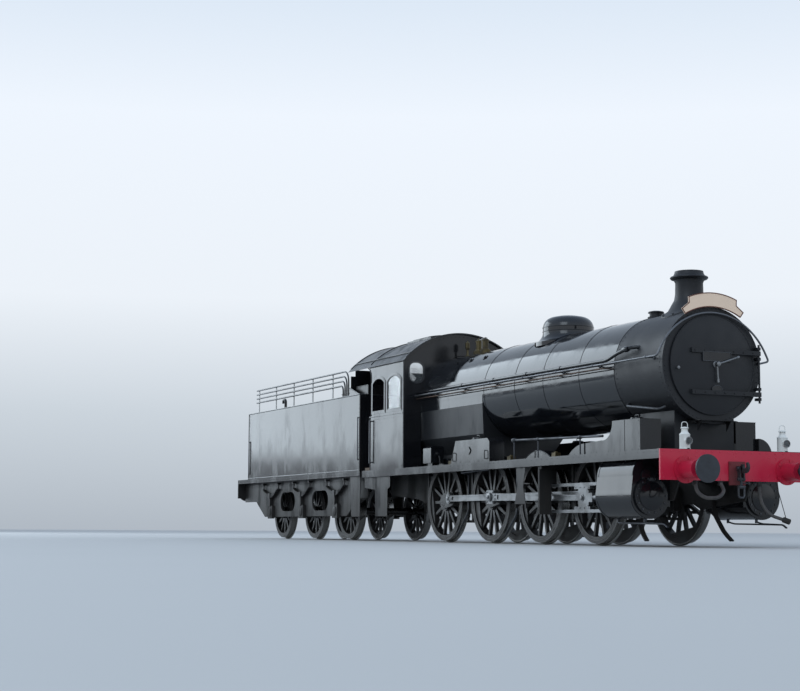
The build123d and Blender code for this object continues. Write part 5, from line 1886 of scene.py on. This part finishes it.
@dataclass
class PlateTrim:
    """Rivets of the running plate, splashers, frames and sandboxes."""

    splasher_r: float = 0.7895

    def build(self) -> None:
        """Makes the rows."""
        rows = Heads("plate_rivets", "engine", Look.GLOSS, 0.16, 0.008)
        for side in SIDES:
            y, out = side * 1.27, (0, side, 0)
            rows.along(0.1, 10.4, y, DECK - 0.035, out)
            for d in COUPLED[1:]:
                points = [(back(d) + u, side * 0.862, AXLE_Z + v) for u, v in arc(0, 0, 0.765, 60, 120, 20)]
                rows.row(points, out)
            rows.along(2.9, 0.95, side * 1.02, DECK + 0.035, out)
            rows.row([(back(0.93), side * 1.02, DECK + 0.08), at(0.93, side * 1.02, 1.79)], out)
            rows.along(6.72, 5.36, side * 1.15, DECK + 0.03, out)
        rows.done()
        frame_rows = Heads("frame_bolts", "engine", Look.FRAME, 0.1, 0.014, 6)
        for side in SIDES:
            for d, low in ((1.765, AXLE_Z + 0.3), (3.315, AXLE_Z + 0.3), (5.045, AXLE_Z + 0.3),
                           (0.06, BEAM_LOW + 0.06)):
                frame_rows.row([(back(d), side * 0.64, low), (back(d), side * 0.64, DECK - 0.06)],
                               (0, side, 0))
        frame_rows.done()
        edge = Piece("splasher_beads", "engine", Look.RIM)
        for side in SIDES:
            for d in COUPLED[1:]:
                lean = math.degrees(math.acos((DECK - AXLE_Z) / self.splasher_r))
                points = [(back(d) + u, side * 0.864, AXLE_Z + v)
                          for u, v in arc(0, 0, self.splasher_r, 90 - lean, 90 + lean, 24)]
                edge.tube(points, 0.007, 6)
        edge.done()


@dataclass
class TenderTrim:
    """Beading, rivets, springs, steps, rails, fillers and rear fittings of the tender."""

    body: str = "tender"
    tank_at: Pair = (10.64, 17.25)
    rail_heights: tuple[float, ...] = (3.14, 3.235, 3.33, 3.425)
    rail_y: float = 1.085
    posts_at: tuple[float, ...] = (12.5, 13.64, 14.78, 15.91, 17.05)
    leaves: int = 6
    leaf_step: float = 0.0145
    spring_half: float = 0.48
    spring_drop: float = 0.115
    spring_top: float = RAIL + 1.1

    def build(self) -> None:
        """Makes them all."""
        self.beading()
        self.rows()
        self.springs()
        self.steps_and_rails()
        self.coal_rails()
        self.top()
        self.rear()
        FrontEnd.drawgear(back(TENDER_END), -1, "tender_drawgear", self.body, False)

    def beading(self) -> None:
        """Half-round beading on the tank's edges and the coping at its front."""
        near, far = self.tank_at
        # the coping's curved top edge, from behind forward
        sweep = [(11.5, 3.06), (11.38, 3.03), (11.2, 2.97), (11.02, 2.91), (10.85, 2.885), (10.65, 2.88)]
        bead = Piece("tank_beading", self.body, Look.RIM)
        for side in SIDES:
            y = side * TANK_Y
            bead.tube([(back(near), y, TANK_TOP), (back(far), y, TANK_TOP)], 0.013, 8)
            for d in (near, far):
                bead.tube([(back(d), y, DECK), (back(d), y, TANK_TOP)], 0.010, 8)
            bead.tube([at(near, y, 1.366), at(far, y, 1.366)], 0.009, 8)
            bead.tube([(back(d), side * 1.1, RAIL + z) for d, z in sweep], 0.012, 8)
        for d in (near, far):
            bead.tube([(back(d), -TANK_Y, TANK_TOP), (back(d), TANK_Y, TANK_TOP)], 0.012, 8)
        bead.done()
        coping = Piece("tank_coping", self.body, Look.GLOSS, 0.001)
        plate = [(back(d), RAIL + z) for d, z in sweep] + [(back(10.65), TANK_TOP), (back(11.5), TANK_TOP)]
        for side in SIDES:
            coping.prism("Y", plate, *sided(side, 1.096, 1.104))
        coping.slab(11.454, 11.446, (-1.1, 1.1), (TANK_TOP, RAIL + 3.3))
        coping.slab(11.454, 11.446, (-1.0, 1.0), (RAIL + 3.3, RAIL + 3.43))
        coping.done()

    def rows(self) -> None:
        """Rivets on the tank, the frames and the beam."""
        rows = Heads("tank_rivets", self.body, Look.GLOSS, 0.075, 0.006)
        for side in SIDES:
            y, out = side * TANK_Y, (0, side, 0)
            rows.along(10.72, 17.17, y, DECK + 0.035, out)
            for d in (10.69, 17.2):
                rows.upright(back(d), y, DECK + 0.09, TANK_TOP - 0.05, out)
        near, far = (back(d) for d in self.tank_at)
        for y in (-1.19, 1.19):
            rows.upright(far, y, DECK + 0.05, TANK_TOP - 0.05, (-1, 0, 0))
            rows.upright(near, y, DECK + 0.05, TANK_TOP - 0.05, (1, 0, 0))
        rows.row([(far, -1.15, DECK + 0.04), (far, 1.15, DECK + 0.04)], (-1, 0, 0))
        rows.done()
        frames = Heads("tender_frame_rivets", self.body, Look.FRAME, 0.11, 0.010)
        for side in SIDES:
            y, out = side * 1.085, (0, side, 0)
            frames.row([at(10.65, y, 1.17), at(17.8, y, 1.17)], out)
            for d in TENDER_AXLES:
                for shift in (-0.2, 0.2):
                    frames.row([at(d + shift, y, 0.52), at(d + shift, y, 0.92)], out)
            frames.row([(back(10.6), side * 1.27, DECK - 0.045), (back(17.85), side * 1.27, DECK - 0.045)],
                       out)
        for z in (DECK - 0.04, BEAM_LOW + 0.03):
            frames.row([(back(TENDER_END), -1.22, z), (back(TENDER_END), 1.22, z)], (-1, 0, 0))
        frames.done()
        bolts = Heads("rear_buffer_bolts", self.body, Look.FRAME, BUFFER_BOLTS_PITCH, 0.017, 6)
        for side in SIDES:
            bolts.ring("X", (side * BUFFER_Y, BUFFER_Z), BUFFER_BOLTS_R, back(17.925), -1.0)
        bolts.done()

    def springs(self) -> None:
        """Leaf springs with their buckles and hangers, and the axleboxes' covers."""
        leaves = Piece("tender_springs", self.body, Look.FRAME, 0.002)
        boxes = Piece("tender_axlebox_covers", self.body, Look.FRAME, 0.004)
        top, reach, drop = self.spring_top, self.spring_half, self.spring_drop
        for side in SIDES:
            for d in TENDER_AXLES:
                x = back(d)
                for leaf in range(self.leaves):
                    half = reach * (1 - 0.13 * leaf)
                    rings = []
                    for i in range(17):
                        u = half * (i / 8 - 1)
                        z = top - drop - (leaf + 1) * self.leaf_step + drop * (u / reach) ** 2
                        y0, y1 = sided(side, 1.0855, 1.165)
                        rings.append([Vector((x + u, y0, z)), Vector((x + u, y1, z)),
                                      Vector((x + u, y1, z + 0.0125)), Vector((x + u, y0, z + 0.0125))])
                    leaves.loft(rings)
                leaves.box((x - 0.05, x + 0.05), sided(side, 1.0852, 1.18), (top - 0.225, top - 0.1))
                leaves.box((x - 0.03, x + 0.03), sided(side, 1.09, 1.165), (RAIL + 0.7, top - 0.2))
                for end in (-reach, reach):
                    leaves.tube([(x + end, side * 1.125, top - 0.03), (x + end, side * 1.125, top + 0.1)],
                                0.014, 8)
                    leaves.box((x + end - 0.04, x + end + 0.04), sided(side, 1.085, 1.17),
                               (top + 0.09, top + 0.13))
                boxes.box((x - 0.14, x + 0.14), sided(side, 1.0845, 1.15), (RAIL + 0.43, RAIL + 0.72))
                cover = [(side * 1.14, 0.1), (side * 1.16, 0.098), (side * 1.168, 0.08), (side * 1.17, 0.001)]
                boxes.lathe("Y", (x, RAIL + TENDER_R), cover, 24)
        leaves.done()
        boxes.done()

    def steps_and_rails(self) -> None:
        """Front steps, and upright rails at the corners."""
        steps = Piece("tender_steps", self.body, Look.FRAME, 0.003)
        plate = [(10.64, 1.33), (11.15, 1.33), (11.08, 0.78), (11.08, 0.45), (10.64, 0.45)]
        Underparts.steps(steps, plate, ((10.64, 11.08, 0.45), (10.64, 11.08, 0.78)))
        steps.done()
        rails = Piece("tender_handrails", self.body, Look.RAIL)
        for side in SIDES:
            for d, low, high in ((10.7, 1.56, 2.42), (17.18, 1.46, 2.23)):
                y = side * 1.262
                rails.tube([(back(d), y, RAIL + low), (back(d), y, RAIL + high)], 0.012, 10)
                for z in (low + 0.015, high - 0.015):
                    rails.tube([(back(d), side * 1.238, RAIL + z), (back(d), y, RAIL + z)], 0.010)
        rails.done()

    def coal_rails(self) -> None:
        """The four rails on each side, bent down to the tank at their front, and their posts."""
        rails = Piece("tender_rails", self.body, Look.RIM)
        heights, y = self.rail_heights, self.rail_y
        for side in SIDES:
            for height in heights:
                front = 11.6 + heights[-1] - height
                route = [(back(front), side * y, TANK_TOP), (back(front), side * y, RAIL + height),
                         (back(17.15), side * y, RAIL + height)]
                rails.bent(route, 0.26, 0.018, 10, steps=8)
            for d in self.posts_at:
                rails.slab(d + 0.025, d - 0.025, sided(side, 1.059, 1.071),
                          (TANK_TOP, RAIL + heights[-1]))
        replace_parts(rails.done(), "coal_rails")

    def top(self) -> None:
        """The filler, vents, toolboxes, handwheel columns and the front plate's fittings."""
        lid = Piece("tank_filler", self.body, Look.GLOSS, 0.004)
        x = back(16.5)
        lid.lathe("Z", (x, 0.0), [(0.0, 0.3), (0.012, 0.3), (0.018, 0.26), (0.15, 0.26), (0.154, 0.275),
                                  (0.176, 0.27), (0.2, 0.16), (0.206, 0.001)], 40, base=TANK_TOP)
        lid.bent([(x, -0.08, TANK_TOP + 0.19), (x, -0.08, TANK_TOP + 0.25), (x, 0.08, TANK_TOP + 0.25),
                  (x, 0.08, TANK_TOP + 0.19)], 0.03, 0.01)
        lid.box((x - 0.32, x - 0.24), (-0.07, 0.07), (TANK_TOP + 0.12, TANK_TOP + 0.18))
        for y in (-0.8, 0.8):
            lid.bent([(back(16.0), y, TANK_TOP), (back(16.0), y, TANK_TOP + 0.28),
                      (back(16.14), y, TANK_TOP + 0.28), (back(16.14), y, TANK_TOP + 0.2)], 0.07, 0.032, 12,
                     steps=6)
        lid.done()
        chest = Piece("tool_boxes", self.body, Look.FRAME, 0.006)
        for side in SIDES:
            chest.slab(11.36, 10.74, sided(side, 0.36, 1.02), (TANK_TOP, TANK_TOP + 0.2))
            chest.slab(11.37, 10.73, sided(side, 0.35, 1.03), (TANK_TOP + 0.2, TANK_TOP + 0.214))
            chest.slab(10.74, 10.725, sided(side, 0.64, 0.72), (TANK_TOP + 0.1, TANK_TOP + 0.17))
        chest.done()
        plate = Piece("shovel_plate", self.body, Look.FRAME, 0.004)
        plate.slab(10.66, 10.632, (-0.36, 0.36), (DECK + 0.05, RAIL + 2.2))
        plate.slab(10.66, 10.622, (-0.3, 0.3), (DECK + 0.12, DECK + 0.62))
        plate.slab(11.0, 10.44, (-0.5, 0.5), (DECK + 0.064, DECK + 0.07))
        for y in (-0.4, 0.4):
            plate.slab(10.66, 10.62, (y - 0.03, y + 0.03), (DECK + 0.05, TANK_TOP - 0.3))
        plate.done()
        wheel = Piece("tender_handwheels", self.body, Look.STEEL, 0.002)
        for y in (-0.85, 0.85):
            column = back(10.56)
            wheel.tube([(column, y, DECK), (column, y, RAIL + 2.3)], 0.022, 12)
            wheel.tube([(column, y - 0.2, RAIL + 2.31), (column, y + 0.2, RAIL + 2.31)], 0.014, 10)
            for end in (-0.2, 0.2):
                wheel.tube([(column, y + end, RAIL + 2.3), (column, y + end, RAIL + 2.42)], 0.016, 10)
            wheel.box((column - 0.08, column + 0.03), (y - 0.04, y + 0.04), (RAIL + 2.1, RAIL + 2.15))
        wheel.done()

    def rear(self) -> None:
        """The ladder, lamp irons and brake pipe at the rear."""
        x = back(self.tank_at[1])
        ladder = Piece("rear_ladder", self.body, Look.FRAME)
        for y in (0.62, 0.92):
            route = [(x - 0.07, y, DECK + 0.02), (x - 0.07, y, TANK_TOP + 0.1),
                     (x + 0.14, y, TANK_TOP + 0.12), (x + 0.18, y, TANK_TOP)]
            ladder.bent(route, 0.09, 0.013, 10, steps=6)
            for z in (DECK + 0.3, RAIL + 2.5):
                ladder.tube([(x, y, z), (x - 0.07, y, z)], 0.011)
        for i in range(5):
            z = DECK + 0.22 + i * 0.28
            ladder.tube([(x - 0.07, 0.62, z), (x - 0.07, 0.92, z)], 0.011)
        ladder.done()
        irons = Piece("rear_lamp_irons", self.body, Look.FRAME, 0.002)
        for y, z in ((-0.82, DECK + 0.3), (0.35, DECK + 0.3), (0.0, RAIL + 2.55), (-0.82, RAIL + 2.2)):
            irons.box((x - 0.05, x + 0.002), (y - 0.02, y + 0.02), (z, z + 0.012))
            irons.box((x - 0.05, x - 0.04), (y - 0.02, y + 0.02), (z, z + 0.11))
        irons.done()
        pipe = Piece("rear_brake_pipe", self.body, Look.RUBBER)
        end = back(TENDER_END)
        pipe.bent([(end - 0.05, -0.3, BEAM_LOW - 0.02), (end - 0.05, -0.3, DECK - 0.18),
                   (end - 0.07, -0.3, DECK + 0.02), (end - 0.16, -0.3, DECK + 0.01),
                   (end - 0.17, -0.3, BEAM_LOW + 0.1), (end - 0.1, -0.2, BEAM_LOW + 0.02)], 0.08, 0.027, 14,
                  steps=8)
        pipe.done()
        collar = Piece("rear_pipe_collars", self.body, Look.FRAME, 0.002)
        for z in (BEAM_LOW + 0.06, DECK - 0.12):
            collar.box((end - 0.09, end + 0.002), (-0.34, -0.26), (z, z + 0.03))
        collar.box((end - 0.11, end + 0.002), (-0.225, -0.175), (BEAM_LOW, BEAM_LOW + 0.04))
        collar.done()


NODE_LOOKS: tuple[tuple[str, Look], ...] = (
    ("coupling_rod", Look.STEEL),
    ("connecting_rod", Look.STEEL),
    ("crosshead", Look.STEEL),
    ("slide_bars", Look.STEEL),
    ("buffer_beam", Look.RED),
    ("tender_beam", Look.FRAME),
    ("buffers", Look.PLUNGER),
    ("smokebox", Look.SOOT),
    ("chimney", Look.SOOT),
    ("door_hinge", Look.SOOT),
    ("boiler", Look.CLADDING),
    ("dome", Look.CLADDING),
    ("firebox", Look.FIREBOX),
    ("cab_roof", Look.ROOF),
    ("axleboxes", Look.FRAME),
    ("frame", Look.FRAME),
    ("brackets", Look.FRAME),
    ("drag_box", Look.FRAME),
    ("drawbar", Look.FRAME),
    ("cab_floor", Look.TIMBER),
    ("safety_valves", Look.BRASS),
)


def dress_nodes() -> None:
    """Gives each CAD node its finish, a wheelset's made for its own axle."""
    for name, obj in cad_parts.items():
        if name.endswith("wheelset"):
            low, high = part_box(name)
            flange = 0.028
            x, z = (low.x + high.x) / 2, (low.z + high.z) / 2
            material = WheelIron(f"{name}_iron", x, z, (high.z - low.z) / 2 - flange).make()
        else:
            look = next((look for word, look in NODE_LOOKS if word in name), Look.GLOSS)
            material = look.material()
        obj.data.materials.clear()
        obj.data.materials.append(material)
        log.info("%s: %s", name, material.name)


@dataclass
class Studio:
    """The floor, the light and the sky."""

    floor_size: float = 240.0
    floor_colour: Colour = (0.52, 0.52, 0.51)
    sky_strength: float = 1.0
    key_energy: float = 2200.0
    side_energy: float = 7600.0
    # how far up, as the sine of the elevation, and the sky's colour there
    sky_steps: tuple[tuple[float, Colour], ...] = (
        (0.0, (0.44, 0.49, 0.55)), (0.07, (0.60, 0.66, 0.72)), (0.14, (0.84, 0.89, 0.95)),
        (0.25, (0.86, 0.92, 1.0)), (0.34, (0.68, 0.78, 0.90)), (1.0, (0.45, 0.58, 0.78)),
    )

    def build(self) -> None:
        """Makes them all."""
        self.floor()
        self.sky()
        self.lamp("key", (24.0, -26.0, 24.0), self.key_energy, 18.0, 18.0)
        self.lamp("side", (-36.0, -21.0, 16.3), self.side_energy, 34.0, 27.0)

    def floor(self) -> None:
        """A pale floor with a faint tooth."""
        half = self.floor_size / 2
        mesh = bpy.data.meshes.new("floor")
        mesh.from_pydata([(-half, -half, 0), (half, -half, 0), (half, half, 0), (-half, half, 0)], [],
                         [(0, 1, 2, 3)])
        obj = bpy.data.objects.new("floor", mesh)
        bpy.context.collection.objects.link(obj)
        s = Shop("floor_grey")
        cloud = s.noise(0.35, detail=3.0)
        base = s.mix(cloud, tuple(c * 0.97 for c in self.floor_colour), self.floor_colour)
        mesh.materials.append(s.finish(Base_Color=base, Roughness=0.85))

    def sky(self) -> None:
        """A soft sky, brightest a little above the horizon."""
        world = bpy.data.worlds.new("sky")
        bpy.context.scene.world = world
        world.use_nodes = True
        tree = world.node_tree
        tree.nodes.clear()
        place = tree.nodes.new("ShaderNodeTexCoord")
        split = tree.nodes.new("ShaderNodeSeparateXYZ")
        ramp = tree.nodes.new("ShaderNodeValToRGB")
        stops = ramp.color_ramp.elements
        stops[0].position, stops[1].position = self.sky_steps[0][0], self.sky_steps[-1][0]
        stops[0].color, stops[1].color = (*self.sky_steps[0][1], 1.0), (*self.sky_steps[-1][1], 1.0)
        for rise, colour in self.sky_steps[1:-1]:
            stops.new(rise).color = (*colour, 1.0)
        light = tree.nodes.new("ShaderNodeBackground")
        light.inputs["Strength"].default_value = self.sky_strength
        end = tree.nodes.new("ShaderNodeOutputWorld")
        for a, b in (
            (place.outputs["Generated"], split.inputs[0]),
            (split.outputs["Z"], ramp.inputs[0]),
            (ramp.outputs[0], light.inputs["Color"]),
            (light.outputs[0], end.inputs[0]),
        ):
            tree.links.new(a, b)

    def lamp(self, name: str, place: Point, energy: float, width: float, height: float) -> None:
        """A large soft lamp that points at the middle of the locomotive.

        Args:
            name: the lamp's name.
            place: where it is.
            energy: its power in watts.
            width: its width in metres.
            height: its height in metres.
        """
        data = bpy.data.lights.new(name, "AREA")
        data.shape = "RECTANGLE"
        data.energy = energy
        data.color = (0.80, 0.91, 1.0)
        data.size, data.size_y = width, height
        obj = bpy.data.objects.new(name, data)
        obj.location = place
        obj.rotation_euler = (Vector((0, 0, 1.5)) - Vector(place)).to_track_quat("-Z", "Y").to_euler()
        bpy.context.collection.objects.link(obj)


@dataclass
class PhotoCamera:
    """The camera of the photograph, low and ahead of the engine's right side.

    yaw and pitch are where it looks, in degrees from +X and up from level; focal is in pixels of a frame
    that is width pixels wide.
    """

    place: Point = (NOSE + 18.89, -13.905, RAIL + 0.209)
    yaw: float = 155.38
    pitch: float = 6.467
    roll: float = 0.333
    focal: float = 1619.7
    width: float = 800.0
    sensor: float = 36.0

    def build(self) -> bpy.types.Object:
        """Makes the camera and gives it to the scene.

        Returns:
            The camera's object.
        """
        yaw, pitch, roll = (math.radians(v) for v in (self.yaw, self.pitch, self.roll))
        ahead = Vector((math.cos(yaw) * math.cos(pitch), math.sin(yaw) * math.cos(pitch), math.sin(pitch)))
        right = Vector((math.sin(yaw), -math.cos(yaw), 0.0))
        up = right.cross(ahead)
        side = right * math.cos(roll) + up * math.sin(roll)
        top = up * math.cos(roll) - right * math.sin(roll)
        data = bpy.data.cameras.new("camera")
        data.sensor_width = self.sensor
        data.lens = self.focal / self.width * self.sensor
        data.clip_end = 500.0
        obj = bpy.data.objects.new("camera", data)
        turn = Matrix((side, top, -ahead)).transposed().to_4x4()
        obj.matrix_world = Matrix.Translation(self.place) @ turn
        bpy.context.collection.objects.link(obj)
        bpy.context.scene.camera = obj
        return obj


def main() -> None:
    """Builds the scene around the frame."""
    logging.basicConfig(level=logging.INFO, format="%(message)s")
    bpy.context.scene.view_settings.view_transform = "Standard"
    PhotoCamera().build()
    Studio().build()
    dress_nodes()
    for assembly in (FrontEnd, SmokeboxTrim, Rails, BoilerTrim, CabTrim, Underparts, Cylinders, Motion,
                     WheelTrim, PlateTrim, TenderTrim):
        assembly().build()


if __name__ == "__main__":
    main()
